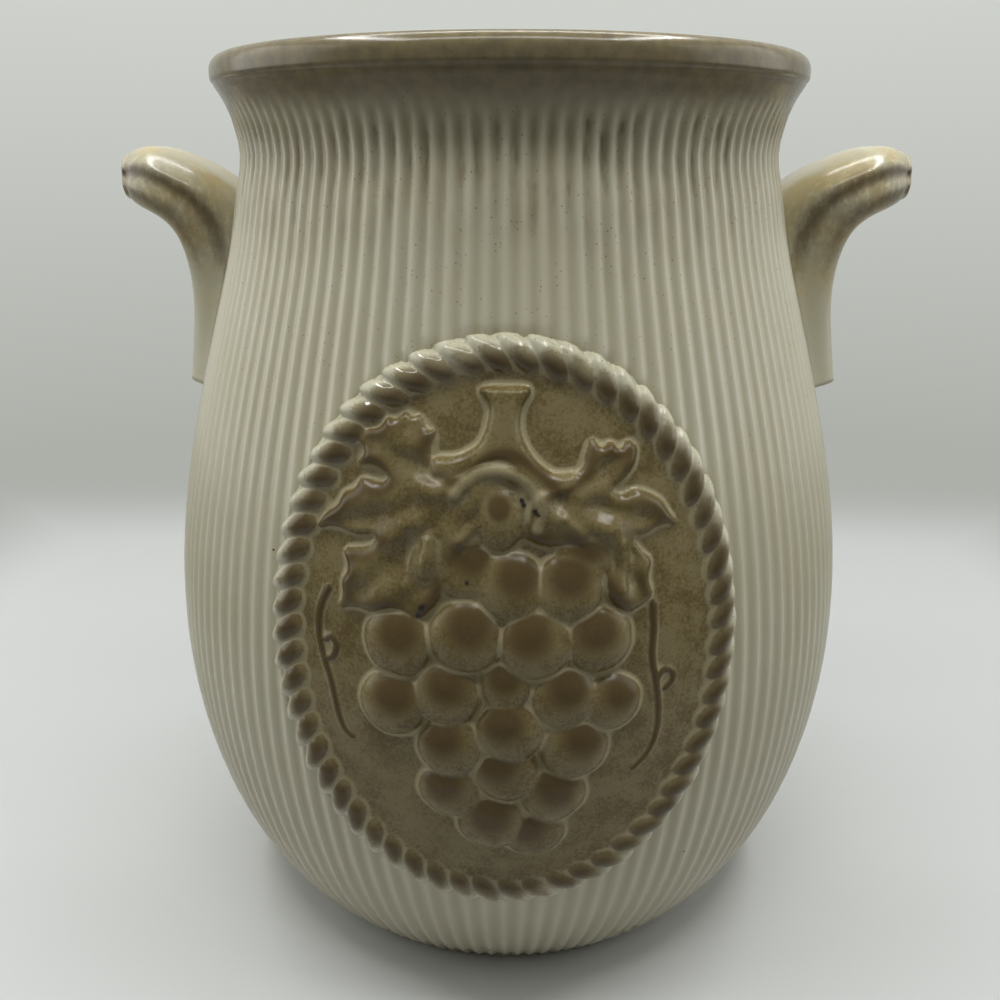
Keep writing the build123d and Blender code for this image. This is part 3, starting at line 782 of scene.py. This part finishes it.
class Relief:
    """The whole oval as one height over the smooth wall, and who owns each cell of it."""

    def __init__(self):
        outlines = {
            "leaf_left": smoothed(placed(LEAF_LEFT), True, 1),
            "leaf_right": smoothed(placed(LEAF_RIGHT), True, 1),
            "stem": smoothed(placed(STEM), True),
        }
        self.x, self.z = self.grid(outlines)
        self.hills = soft_noise(self.x.shape, HILL_CELLS, HILL_SEED)
        self.heights, self.edges, self.stains = {}, {}, {}
        self.lay_pieces(outlines)
        self.names = ["field", *self.heights]
        highest = np.stack(list(self.heights.values())).argmax(0)
        owned = np.choose(highest, list(self.edges.values())) < 0
        self.owner = np.where(owned, highest + 1, 0)
        share = oval_share(self.x, self.z, PANEL_HALF_WIDTH, PANEL_HALF_HEIGHT)
        total = np.where(share > BED_FROM_SHARE, rope_bed(self.x, self.z), 0.0)
        for height in self.heights.values():
            total = smooth_max(total, height, PIECE_CREASE)
        self.inside = oval_edge(self.x, self.z) < OVAL_OVERRUN
        base, normal = front_point(self.x, self.z)
        soft = RELIEF_SOFT_SHARE * blurred(total, RELIEF_SOFT_CELLS)
        self.top = base + normal * ((1 - RELIEF_SOFT_SHARE) * total + soft)[..., None]
        self.back = base - normal * RELIEF_BACK
        self.shading = self.surface_normal()
        self.paint = self.glaze_shares(total, share)

    def grid(self, outlines):
        """Frontal places in even steps, moved onto the outlines that run close to them."""
        xs = np.arange(-PANEL_HALF_WIDTH - MM, PANEL_HALF_WIDTH + MM, RELIEF_PITCH)
        zs = np.arange(-PANEL_HALF_HEIGHT - MM, PANEL_HALF_HEIGHT + MM, RELIEF_PITCH) + PANEL_CENTRE
        x, z = np.meshgrid(xs, zs, indexing="ij")
        for outline in outlines.values():
            x, z = snapped(x, z, lambda a, b, o=outline: inside_outline(a, b, o))
        x, z = snapped(x, z, rope_edge)
        return snapped(x, z, oval_edge)

    def lay_pieces(self, outlines):
        """The height and signed edge of every piece, and the brown of the rope and the grapes."""
        x, z = self.x, self.z
        rope, self.stains["rope"] = rope_height(x, z)
        rope = smooth_max(rope, rope_bed(x, z), BED_CREASE)
        grapes, self.stains["grapes"] = grape_height(x, z, self.hills)
        pieces = {
            "rope": (rope, rope_edge(x, z)),
            "grapes": (grapes, GRAPE_EDGE_RISE - grapes),
            "leaf_left": leaf_height(x, z, outlines["leaf_left"], VEINS_LEFT, self.hills),
            "leaf_right": leaf_height(x, z, outlines["leaf_right"], VEINS_RIGHT, self.hills),
            "stem": stem_height(x, z, outlines["stem"]),
            "tendril_left": tendril_height(x, z, TENDRIL_LEFT, LOOP_LEFT),
            "tendril_right": tendril_height(x, z, TENDRIL_RIGHT, LOOP_RIGHT),
        }
        for name, (height, edge) in pieces.items():
            self.heights[name], self.edges[name] = height, edge

    def owned(self, name):
        """The cells that one piece owns."""
        return self.owner == self.names.index(name)

    def pit_marks(self):
        """Small ragged kiln marks at chosen places."""
        pits = np.zeros(self.x.shape)
        ragged = PIT_RAGGED * soft_noise(self.x.shape, PIT_CELLS, PIT_SEED)
        for cx, cz in placed(PITS):
            spot = np.hypot(self.x - cx, (self.z - cz) * PIT_HEIGHT_SHARE) / PIT_RADIUS + ragged
            pits = np.maximum(pits, smoothstep(*PIT_EDGE, spot))
        return pits

    def glaze_shares(self, total, share):
        """Shares of brown glaze (with painted shade along the crease under the stalk's fork), pooled, leaf
        and sprayed glaze and of kiln marks, for the materials to read.
        """
        x, z, edges = self.x, self.z, self.edges
        leaf_edge = np.minimum(edges["leaf_left"], edges["leaf_right"])
        leafy = smoothstep(*LEAF_SPRAY_EDGE, np.minimum(leaf_edge, edges["stem"]))
        rim = smoothstep(*LEAF_RIM_OUTER, leaf_edge) * smoothstep(*LEAF_RIM_INNER, leaf_edge)
        brown = np.zeros(x.shape)
        for name, stain in self.stains.items():
            brown = np.where(self.owned(name), stain, brown)
        on_leaf = self.owned("leaf_left") | self.owned("leaf_right")
        uneven_rim = rim * smoothstep(*LEAF_HILL_RANGE, self.hills)
        brown = np.where(on_leaf, LEAF_BROWN + LEAF_RIM_BROWN * uneven_rim, brown)
        # Painted shade: a dark line along the crease under the stalk's fork, laid into the brown share
        shade, _ = line_distance(x, z, smoothed(placed(FORK_SHADE), False))
        brown = np.maximum(brown, bell(shade, FORK_SHADE_HALF_WIDTH) * (leafy > 0))
        tendrils = np.minimum(edges["tendril_left"], edges["tendril_right"])
        brown = np.maximum(blurred(brown, 1.2), smoothstep(*TENDRIL_BROWN_EDGE, tendrils))
        cx, cz = placed_point(KNOT)
        from_knot = np.hypot((x - cx) / KNOT_STAIN_WIDTH_SHARE, z - cz - KNOT_STAIN_UP)
        on_knot = bell(from_knot, KNOT_STAIN_RADIUS, 4)
        curl, _ = line_distance(x, z, smoothed(placed(CURL), False))
        on_curl = bell(curl, CURL_PALE_HALF_WIDTH, 4)
        brown = np.maximum(brown, on_knot) * (1 - CURL_BROWN_LOSS * on_curl)
        cx, cz = placed_point(PALE_FOLD)
        pale = np.maximum(CURL_PALE * on_curl, bell(np.hypot(x - cx, z - cz), PALE_FOLD_RADIUS))
        crease = blurred((blurred(total, CREASE_CELLS) - total) / MM, 0.8)
        inner = smoothstep(*LEAF_MIDDLE, leaf_edge)
        pooled = smoothstep(*CREASE_RANGE, crease) * (1 - 0.5 * inner)
        ragged = SPRAY_RAGGED * soft_noise(x.shape, SPRAY_CELLS, SPRAY_SEED)
        return {
            "brown": brown,
            "pool": np.maximum(pooled, pale),
            "leafy": blurred(leafy, 1.5),
            "spray": 1 - smoothstep(*SPRAY_SHARES, share + ragged),
            "pit": self.pit_marks(),
        }

    def surface_normal(self):
        """Normals of the whole relief, so that pieces cut from it shade as one surface."""
        along_x = np.gradient(self.top, axis=0)
        along_z = np.gradient(self.top, axis=1)
        normal = np.cross(along_x, along_z)
        return normal / np.linalg.norm(normal, axis=-1, keepdims=True)

    def piece(self, name, owner_name):
        """A closed piece: the cells that it owns, their back, and walls around their edge."""
        rows, columns = self.x.shape
        index = np.arange(rows * columns).reshape(rows, columns)
        cells = np.stack([index[:-1, :-1], index[1:, :-1], index[1:, 1:], index[:-1, 1:]], -1).reshape(-1, 4)
        first, second, third, _ = np.sort(self.owner.ravel()[cells], axis=1).T
        votes = np.where((second == third) | (first == second), second, third)
        keep = (votes == self.names.index(owner_name)) & self.inside.ravel()[cells].all(1)
        cells = cells[keep]
        used, local = np.unique(cells, return_inverse=True)
        cells = local.reshape(-1, 4)
        count = len(used)
        sides = np.concatenate([cells[:, [i, (i + 1) % 4]] for i in range(4)])
        key = np.sort(sides, axis=1)
        _, first, times = np.unique(key, axis=0, return_index=True, return_counts=True)
        rim = sides[first[times == 1]]
        walls = np.stack([rim[:, 1], rim[:, 0], rim[:, 0] + count, rim[:, 1] + count], 1)
        points = np.vstack([self.top.reshape(-1, 3)[used], self.back.reshape(-1, 3)[used]])
        piece = new_mesh(name, points, *polygons(cells, cells[:, ::-1] + count, walls))
        loops = np.zeros((len(piece.data.loops), 3), np.float32)
        loops[: cells.size] = self.shading.reshape(-1, 3)[used][cells.ravel()]
        piece.data.normals_split_custom_set(loops)
        for label, grid in self.paint.items():
            add_value(piece, label, np.tile(grid.ravel()[used], 2))
        return piece


def bells(at, shapes):
    """Sum of bell curves, each given by its centre, half width and strength."""
    return sum(strength * bell(at - centre, half_width) for centre, half_width, strength in shapes)


def handle_section():
    """Around one section: share of its half width, and share of the way from outer face to crown."""
    turn = 2 * pi * np.arange(SECTION_COLUMNS) / SECTION_COLUMNS
    side_share = np.sign(np.cos(turn)) * np.abs(np.cos(turn)) ** 0.5
    up = np.sin(turn)
    above = SECTION_MIDDLE + (1 - SECTION_MIDDLE) * np.abs(up) ** 1.1
    below = SECTION_MIDDLE * (1 - np.abs(up) ** 0.8)
    return side_share, np.where(up > 0, above, below)


def handle_surface(reach_share):
    """Sections of one handle carried from its tail to its tip, with a quarter round over its end.

    Each section runs from an outer face to an arched crown. Its front and back faces carry two soft
    ridges with grooves between them, which are strongest at the tip and fade out on the shoulder.
    """
    scale = ((HANDLE_REACH - NECK_RADIUS) * reach_share, HANDLE_HEIGHT)
    start = (NECK_RADIUS, HANDLE_TOP - HANDLE_HEIGHT)
    stations = np.arange(len(HANDLE_OUTER))
    end = np.radians(np.linspace(0, 88, END_RINGS + 1))[1:]
    at = np.concatenate([np.linspace(0, stations[-1], HANDLE_RINGS), np.full(END_RINGS, stations[-1])])
    round_out = np.concatenate([np.zeros(HANDLE_RINGS), np.sin(end) ** HANDLE_END_POWER])
    shrink = np.concatenate([np.ones(HANDLE_RINGS), np.cos(end) ** HANDLE_END_POWER])[:, None]
    outer = natural_curve(stations, np.array(HANDLE_OUTER) * scale + start, at)
    crown = natural_curve(stations, np.array(HANDLE_CROWN) * scale + start, at)
    width = natural_curve(stations, HANDLE_WIDTH * np.array(HANDLE_WIDTHS), at) / 2
    side_share, along = handle_section()
    ridge = bells(along, HANDLE_RIDGES) * np.abs(side_share)
    groove = RIDGE_RISE * np.outer(smoothstep(*RIDGES_FROM, at) * (1 - 0.8 * round_out), ridge)
    y = (side_share * width[:, None] + np.sign(side_share) * groove) * shrink
    middle_line = ((outer + crown) / 2)[:, None, :]
    spread = outer[:, None, :] + (crown - outer)[:, None, :] * along[None, :, None] - middle_line
    xz = middle_line + spread * shrink[..., None]
    x = xz[..., 0] + round_out[:, None] * HANDLE_END
    z = xz[..., 1]
    clearance = np.clip(np.hypot(x, y) - wall_radius(z), 0, None)
    y = y * (1.0 + ROOT_SWELL * np.exp(-clearance / ROOT_SWELL_REACH))
    out = np.maximum((wall_radius(z) - HANDLE_ROOT_DEPTH) / np.maximum(np.hypot(x, y), MM), 1.0)
    front = np.abs(side_share) ** 1.5
    upper = smoothstep(*STAINS_FROM, at)
    stain = np.outer(upper, bells(along, HANDLE_STAINS) * front)
    return x * out, y * out, z, stain, np.outer(upper, front)


def build_handle(name, side, reach_share):
    """One curled lug handle as a closed tube of sections."""
    x, y, z, stain, face = handle_surface(reach_share)
    points = np.stack([side * x, side * y, z], -1)
    piece = turned(name, list(points), [points[0].mean(0), points[-1].mean(0)])
    add_value(piece, "stain", np.concatenate([stain.ravel(), [0, 0]]))
    add_value(piece, "face", np.concatenate([face.ravel(), [0, 0]]))
    return piece


class Nodes:
    """Short calls for building one material's nodes."""

    def __init__(self, name):
        self.material = bpy.data.materials.new(name)
        self.material.use_nodes = True
        self.tree = self.material.node_tree
        self.shader = self.tree.nodes["Principled BSDF"]
        coordinates = self.tree.nodes.new("ShaderNodeTexCoord")
        self.place = coordinates.outputs["Object"]

    def link(self, value, socket):
        """Feeds a socket with another node's output or with a plain number or colour."""
        if isinstance(value, bpy.types.NodeSocket):
            self.tree.links.new(value, socket)
        else:
            socket.default_value = value

    def value(self, name):
        """A number stored at the piece's points."""
        node = self.tree.nodes.new("ShaderNodeAttribute")
        node.attribute_name = name
        return node.outputs["Fac"]

    def math(self, operation, *values):
        """One arithmetic node."""
        node = self.tree.nodes.new("ShaderNodeMath")
        node.operation = operation
        for value, socket in zip(values, node.inputs):
            self.link(value, socket)
        return node.outputs[0]

    def times(self, first, *others):
        """The product of its values."""
        for other in others:
            first = self.math("MULTIPLY", first, other)
        return first

    def plus(self, first, second):
        """The sum of two values."""
        return self.math("ADD", first, second)

    def ramp(self, value, low, high):
        """0 at low and 1 at high, smooth between, for either order of the two."""
        node = self.tree.nodes.new("ShaderNodeMapRange")
        node.interpolation_type = "SMOOTHSTEP"
        self.link(value, node.inputs["Value"])
        node.inputs["From Min"].default_value = low
        node.inputs["From Max"].default_value = high
        return node.outputs["Result"]

    def blend(self, share, first, second):
        """Mixes two colours by a share."""
        node = self.tree.nodes.new("ShaderNodeMix")
        node.data_type = "RGBA"
        self.link(share, node.inputs["Factor"])
        self.link(first, node.inputs["A"])
        self.link(second, node.inputs["B"])
        return node.outputs["Result"]

    def noise(self, size, detail=2.0, stretch=(1, 1, 1), rough=0.5):
        """Cloudy pattern with features of about the given size in metres."""
        mapping = self.tree.nodes.new("ShaderNodeMapping")
        self.link(self.place, mapping.inputs["Vector"])
        mapping.inputs["Scale"].default_value = stretch
        node = self.tree.nodes.new("ShaderNodeTexNoise")
        self.link(mapping.outputs["Vector"], node.inputs["Vector"])
        node.inputs["Scale"].default_value = 1.0 / size
        node.inputs["Detail"].default_value = detail
        node.inputs["Roughness"].default_value = rough
        return node.outputs["Fac"]

    def specks(self, spacing, radius, chance):
        """Round dots at random places: near a cell's centre, in the share of cells given by chance."""
        node = self.tree.nodes.new("ShaderNodeTexVoronoi")
        self.link(self.place, node.inputs["Vector"])
        node.inputs["Scale"].default_value = 1.0 / spacing
        dot = self.ramp(node.outputs["Distance"], radius / spacing, 0.6 * radius / spacing)
        split = self.tree.nodes.new("ShaderNodeSeparateColor")
        self.link(node.outputs["Color"], split.inputs[0])
        chosen = self.math("LESS_THAN", split.outputs[0], chance)
        return self.math("MULTIPLY", dot, chosen)

    def coordinates(self):
        """The place on the piece as its x, y and height above the floor, in metres."""
        node = self.tree.nodes.new("ShaderNodeSeparateXYZ")
        self.link(self.place, node.inputs[0])
        return node.outputs["X"], node.outputs["Y"], node.outputs["Z"]

    def bump(self, size, depth):
        """Ripples the shading, with the ripples' size and depth in metres."""
        node = self.tree.nodes.new("ShaderNodeBump")
        node.inputs["Strength"].default_value = 0.6
        node.inputs["Distance"].default_value = depth
        self.link(self.noise(size, 2.0), node.inputs["Height"])
        self.link(node.outputs["Normal"], self.shader.inputs["Normal"])

    def gloss(self, colour, rough_low=0.12, rough_high=0.3, specular=0.36):
        """A clear fired glaze over a colour, a little uneven in its shine."""
        self.link(colour, self.shader.inputs["Base Color"])
        spread = self.tree.nodes.new("ShaderNodeMapRange")
        self.link(self.noise(SHINE_CLOUD, 3.0), spread.inputs["Value"])
        spread.inputs["To Min"].default_value = rough_low
        spread.inputs["To Max"].default_value = rough_high
        self.link(spread.outputs["Result"], self.shader.inputs["Roughness"])
        self.shader.inputs["IOR"].default_value = 1.5
        self.shader.inputs["Specular IOR Level"].default_value = specular


CREAM = (0.53, 0.51, 0.375, 1)
PALE = (0.57, 0.555, 0.43, 1)
# Painted shade: the grey that the rib valleys are darkened towards
PAINTED_VALLEY_SHADE = (0.42, 0.385, 0.26, 1)
# Painted warm light: the tint laid on the handles' upper part
PAINTED_WARM_LIGHT = (0.56, 0.475, 0.27, 1)
KHAKI = (0.165, 0.125, 0.05, 1)
LIP_KHAKI = (0.1, 0.075, 0.028, 1)
TAN = (0.18, 0.138, 0.052, 1)
LEAF_TAN = (0.16, 0.122, 0.042, 1)
POOL = (0.37, 0.325, 0.19, 1)
BROWN = (0.07, 0.041, 0.008, 1)
DARK = (0.012, 0.008, 0.006, 1)
LINING = (0.085, 0.035, 0.013, 1)
BARE_CLAY = (0.36, 0.26, 0.17, 1)


# Sizes of the patterns in the glaze
SHINE_CLOUD = 12.0 * MM
BODY_CLOUD = 30.0 * MM
FLECK_CLOUD = 10.0 * MM
# Size of the patches of painted warm light on the handles
PAINTED_LIGHT_CLOUD = 12.0 * MM
RELIEF_CLOUD = 8.0 * MM
RELIEF_GRAIN = 0.9 * MM
SPRAY_GRAIN = 6.0 * MM
SPRAY_UNEVEN = 60.0 * MM
STREAK_GRAIN = 3.5 * MM
LIP_GRAIN = 4.0 * MM
HANDLE_GRAIN = 2.2 * MM
FLECKS = (1.3 * MM, 0.26 * MM, 0.4)
DARK_SPOTS = (11.0 * MM, 0.42 * MM, 0.13)
BODY_RIPPLE = (4.0 * MM, 0.08 * MM)
RELIEF_RIPPLE = (3.0 * MM, 0.06 * MM)

# Heights between which a glaze sets in, the first with none of it and the second with all
COLLAR = (228.0 * MM, 275.0 * MM)
STREAKS_BELOW = (236.0 * MM, 262.0 * MM)
STREAKS_ABOVE = (279.0 * MM, 270.0 * MM)
LIP_BAND = (268.0 * MM, 279.0 * MM)
FOOT_BAND = (12.0 * MM, 0.0)
FLECKED = (120.0 * MM, 260.0 * MM)
# Heights where the handles' painted warm light gives way to plain cream
HANDLE_CREAM = (235.0 * MM, 200.0 * MM)
HANDLE_FACE = (205.0 * MM, 245.0 * MM)


def glaze_specks(n, colour, dense):
    """Fine brown flecks everywhere and a few larger dark ones."""
    colour = n.blend(n.times(n.specks(*FLECKS), dense, 0.6), colour, BROWN)
    return n.blend(n.specks(*DARK_SPOTS), colour, DARK)


def cream_glaze():
    """The body: pale crests, painted shade that greys the rib valleys, a sprayed khaki collar with streaks,
    a brown lining.
    """
    n = Nodes("cream_glaze")
    valley = n.value("valley")
    _, _, z = n.coordinates()
    colour = n.blend(n.ramp(n.noise(BODY_CLOUD, 3.0), 0.35, 0.7), CREAM, PALE)
    # Painted shade: darkens the rib valleys by their depth
    colour = n.blend(n.times(valley, 0.75), colour, PAINTED_VALLEY_SHADE)
    uneven = n.plus(n.noise(SPRAY_GRAIN, 4.0, (1, 1, 0.25)), -0.5)
    ragged = n.plus(z, n.times(uneven, SPRAY_UNEVEN))
    in_valley = n.plus(n.times(valley, 0.45), 0.2)
    colour = n.blend(n.times(n.ramp(ragged, *COLLAR), in_valley), colour, KHAKI)
    streak = n.ramp(n.noise(STREAK_GRAIN, 3.0, (1, 1, 0.22)), 0.48, 0.72)
    band = n.times(n.ramp(z, *STREAKS_BELOW), n.ramp(z, *STREAKS_ABOVE))
    colour = n.blend(n.times(streak, valley, band, 0.65), colour, BROWN)
    mottled = n.blend(n.ramp(n.noise(LIP_GRAIN, 4.0), 0.3, 0.7), KHAKI, LIP_KHAKI)
    colour = n.blend(n.times(n.ramp(z, *LIP_BAND), 0.92), colour, mottled)
    colour = n.blend(n.times(n.ramp(ragged, *FOOT_BAND), 0.7), colour, TAN)
    flecked = n.ramp(n.noise(FLECK_CLOUD, 2.0), 0.35, 0.65)
    colour = glaze_specks(n, colour, n.times(n.plus(n.ramp(z, *FLECKED), 0.2), flecked))
    colour = n.blend(n.value("lining"), colour, LINING)
    colour = n.blend(n.value("bare"), colour, BARE_CLAY)
    n.gloss(colour)
    n.bump(*BODY_RIPPLE)
    return n.material


def relief_glaze(name, rough_low, rough_high, specular):
    """Glaze over the moulding: tan ground, darker leaves, brown where it runs thin and as painted shade
    under the stalk's fork, cream where it pools.
    """
    n = Nodes(name)
    cloud = n.noise(RELIEF_CLOUD, 4.0, rough=0.6)
    grain = n.noise(RELIEF_GRAIN, 3.0, rough=0.7)
    mixed = n.times(n.plus(cloud, grain), 0.5)
    uneven = n.times(n.plus(mixed, -0.5), 2.0)
    colour = n.blend(n.value("leafy"), TAN, LEAF_TAN)
    colour = n.blend(n.times(n.ramp(mixed, 0.44, 0.66), 0.4), colour, POOL)
    colour = n.blend(n.times(n.ramp(mixed, 0.53, 0.36), 0.6), colour, BROWN)
    # The brown share also carries the painted shade under the stalk's fork
    brown = n.ramp(n.plus(n.value("brown"), uneven), 0.0, 0.9)
    colour = n.blend(n.times(brown, 0.92), colour, BROWN)
    pool = n.ramp(n.plus(n.value("pool"), n.times(uneven, 0.4)), 0.0, 1.0)
    colour = n.blend(n.times(pool, 0.85), colour, POOL)
    outside = n.blend(n.times(brown, 0.8), CREAM, TAN)
    colour = n.blend(n.value("spray"), outside, colour)
    colour = glaze_specks(n, colour, n.ramp(n.noise(FLECK_CLOUD, 2.0), 0.3, 0.6))
    colour = n.blend(n.value("pit"), colour, DARK)
    n.gloss(colour, rough_low, rough_high, specular)
    n.bump(*RELIEF_RIPPLE)
    return n.material


def handle_glaze():
    """Handles: painted warm light over their upper part, cream lower down, greyer front face, brown streaks
    in its grooves.
    """
    n = Nodes("handle_glaze")
    _, _, z = n.coordinates()
    mottled = n.noise(HANDLE_GRAIN, 4.0, (1, 1, 0.6), 0.65)
    # Painted warm light: the upper handle, facing the lamps overhead, is tinted in patches and fades to
    # plain cream lower down
    warm = n.blend(n.ramp(n.noise(PAINTED_LIGHT_CLOUD, 3.0), 0.35, 0.65), PAINTED_WARM_LIGHT, CREAM)
    colour = n.blend(n.ramp(z, *HANDLE_CREAM), warm, CREAM)
    face = n.times(n.value("face"), n.ramp(z, *HANDLE_FACE), n.ramp(mottled, 0.1, 0.6))
    colour = n.blend(n.times(face, 0.5), colour, KHAKI)
    uneven = n.times(n.plus(mottled, -0.5), 0.5)
    stain = n.ramp(n.plus(n.value("stain"), uneven), 0.1, 1.1)
    colour = n.blend(n.times(stain, 0.8), colour, BROWN)
    colour = glaze_specks(n, colour, 0.5)
    n.gloss(colour)
    n.bump(*BODY_RIPPLE)
    return n.material


# The studio: what the camera and reflections see is pale, what only lights the pot is dimmer
FLOOR_PALE = (0.70, 0.72, 0.71, 1)
FLOOR_LIT = (0.5, 0.5, 0.49, 1)
AIR_LOW = (0.42, 0.43, 0.40, 1)
AIR_HIGH = (0.62, 0.64, 0.60, 1)
AIR_LIGHT = (1.0, 0.97, 0.9, 1)
AIR_STRENGTH = 0.12
AIR_RISE = (-0.25, 0.12)
FLOOR_HALF = 0.5
FLOOR_FADE = (0.30, 0.46)
SIDE_PANEL_OUT = 0.75
SIDE_PANEL_HEIGHT = 0.45
SIDE_PANEL_AIM = (0.0, 0.0, 0.15)
SIDE_PANEL_SIZE = (0.7, 0.7)
SIDE_PANEL_POWERS = ((-1, 2.15), (1, 1.85))
STRIP_HEIGHT = 0.72
STRIP_POWER = 1.45
STRIP_WIDTH = 0.045
STRIPS = (
    (0.0, -0.27, 0.6, STRIP_WIDTH),
    (0.0, 0.14, 0.6, STRIP_WIDTH),
    (-0.28, -0.065, STRIP_WIDTH, 0.365),
    (0.28, -0.065, STRIP_WIDTH, 0.365),
)


def seen_rays(tree):
    """1 for the camera's own rays and for reflected and transmitted ones, 0 for rays that only light."""
    path = tree.nodes.new("ShaderNodeLightPath")
    seen = path.outputs["Is Camera Ray"]
    for kind in ("Is Glossy Ray", "Is Transmission Ray"):
        larger = tree.nodes.new("ShaderNodeMath")
        larger.operation = "MAXIMUM"
        tree.links.new(seen, larger.inputs[0])
        tree.links.new(path.outputs[kind], larger.inputs[1])
        seen = larger.outputs[0]
    return seen


def fade_over(tree, share, first, second, output):
    """Sends the first shader to the output where the share is 0, and the second where it is 1."""
    mix = tree.nodes.new("ShaderNodeMixShader")
    for value, socket in zip((share, first, second), mix.inputs):
        tree.links.new(value, socket)
    tree.links.new(mix.outputs[0], tree.nodes[output].inputs["Surface"])


def build_stage():
    """A flat pale floor whose square edges fade into the pale air all round."""
    corners = np.array([(-1, -1, 0), (1, -1, 0), (1, 1, 0), (-1, 1, 0)]) * FLOOR_HALF
    floor = new_mesh("studio_floor", corners, *polygons(np.array([[0, 1, 2, 3]])))
    n = Nodes("studio_paper")
    n.link(n.blend(seen_rays(n.tree), FLOOR_LIT, FLOOR_PALE), n.shader.inputs["Base Color"])
    n.shader.inputs["Roughness"].default_value = 0.9
    n.shader.inputs["Specular IOR Level"].default_value = 0.1
    x, y, _ = n.coordinates()
    reach = n.math("MAXIMUM", n.math("ABSOLUTE", x), n.math("ABSOLUTE", y))
    clear = n.tree.nodes.new("ShaderNodeBsdfTransparent")
    fade = n.ramp(reach, *FLOOR_FADE)
    fade_over(n.tree, fade, n.shader.outputs[0], clear.outputs[0], "Material Output")
    floor.data.materials.append(n.material)


def build_air():
    """The world: dim even light, seen as a pale grey that brightens upwards."""
    world = bpy.data.worlds.new("studio_air")
    world.use_nodes = True
    tree = world.node_tree
    light = tree.nodes["Background"]
    light.inputs["Color"].default_value = AIR_LIGHT
    light.inputs["Strength"].default_value = AIR_STRENGTH
    direction = tree.nodes.new("ShaderNodeTexCoord")
    split = tree.nodes.new("ShaderNodeSeparateXYZ")
    tree.links.new(direction.outputs["Generated"], split.inputs[0])
    rise = tree.nodes.new("ShaderNodeMapRange")
    tree.links.new(split.outputs["Z"], rise.inputs["Value"])
    rise.inputs["From Min"].default_value = AIR_RISE[0]
    rise.inputs["From Max"].default_value = AIR_RISE[1]
    colour = tree.nodes.new("ShaderNodeMix")
    colour.data_type = "RGBA"
    tree.links.new(rise.outputs["Result"], colour.inputs["Factor"])
    colour.inputs["A"].default_value = AIR_LOW
    colour.inputs["B"].default_value = AIR_HIGH
    pale = tree.nodes.new("ShaderNodeBackground")
    tree.links.new(colour.outputs["Result"], pale.inputs["Color"])
    fade_over(tree, seen_rays(tree), light.outputs[0], pale.outputs[0], "World Output")
    bpy.context.scene.world = world


def add_panel(name, place, aim, size, power):
    """A soft rectangular lamp that faces a point."""
    lamp = bpy.data.lights.new(name, "AREA")
    lamp.shape = "RECTANGLE"
    lamp.size, lamp.size_y = size
    lamp.energy = power
    panel = bpy.data.objects.new(name, lamp)
    panel.location = place
    direction = Vector(aim) - Vector(place)
    panel.rotation_euler = direction.to_track_quat("-Z", "Y").to_euler()
    bpy.context.scene.collection.objects.link(panel)


def build_light():
    """Two side panels and a frame of strips overhead."""
    for side, power in SIDE_PANEL_POWERS:
        place = (SIDE_PANEL_OUT * side, 0.0, SIDE_PANEL_HEIGHT)
        add_panel(f"side_panel_{side + 1}", place, SIDE_PANEL_AIM, SIDE_PANEL_SIZE, power)
    for i, (x, y, wide, deep) in enumerate(STRIPS):
        add_panel(f"top_strip_{i}", (x, y, STRIP_HEIGHT), (x, y, 0.0), (wide, deep), STRIP_POWER)


def build_camera():
    """The photograph's view: close, a little above the pot and looking down at its middle."""
    lens = bpy.data.cameras.new("photo_camera")
    lens.lens = LENS
    lens.sensor_width = SENSOR
    camera = bpy.data.objects.new("photo_camera", lens)
    side_step = radians(CAMERA_TURN)
    camera.location = (
        CAMERA_SHIFT * cos(side_step) + CAMERA_DISTANCE * sin(side_step),
        CAMERA_SHIFT * sin(side_step) - CAMERA_DISTANCE * cos(side_step),
        CAMERA_HEIGHT,
    )
    camera.rotation_euler = (radians(90 - CAMERA_DOWN), 0.0, side_step)
    bpy.context.scene.collection.objects.link(camera)
    bpy.context.scene.camera = camera


def finish_piece(piece, material, node):
    """Gives a piece its glaze and its body, and hides the solid that it stands for."""
    piece.data.materials.append(material)
    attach(piece, "root")
    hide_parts(node)


build_camera()
build_stage()
build_air()
build_light()

finish_piece(build_body(), cream_glaze(), "pot_body")
handle_material = handle_glaze()
left_handle = build_handle("left_handle", -1, HANDLE_REACH_SHARES[0])
right_handle = build_handle("right_handle", 1, HANDLE_REACH_SHARES[1])
finish_piece(left_handle, handle_material, "handle_left")
finish_piece(right_handle, handle_material, "handle_right")

relief = Relief()
field_material = relief_glaze("relief_glaze", 0.2, 0.36, 0.3)
rope_material = relief_glaze("rope_glaze", 0.05, 0.11, 0.34)
RELIEF_PIECES = (
    ("oval_field", "field", field_material, "tan_glaze", "medallion_field"),
    ("rope", "rope", rope_material, "relief_glaze", "rope_border"),
    ("grapes", "grapes", field_material, "relief_glaze", "grape_cluster"),
    ("left_leaf", "leaf_left", field_material, "relief_glaze", "leaf_left"),
    ("right_leaf", "leaf_right", field_material, "relief_glaze", "leaf_right"),
    ("vine_stalk", "stem", field_material, "relief_glaze", "vine_stem"),
    ("left_tendril", "tendril_left", field_material, "brown_glaze", "tendril_left"),
    ("right_tendril", "tendril_right", field_material, "brown_glaze", "tendril_right"),
)
for name, owner_name, material, slot_name, node in RELIEF_PIECES:
    finish_piece(relief.piece(name, owner_name), material, node)

bpy.context.scene.view_settings.view_transform = "Standard"
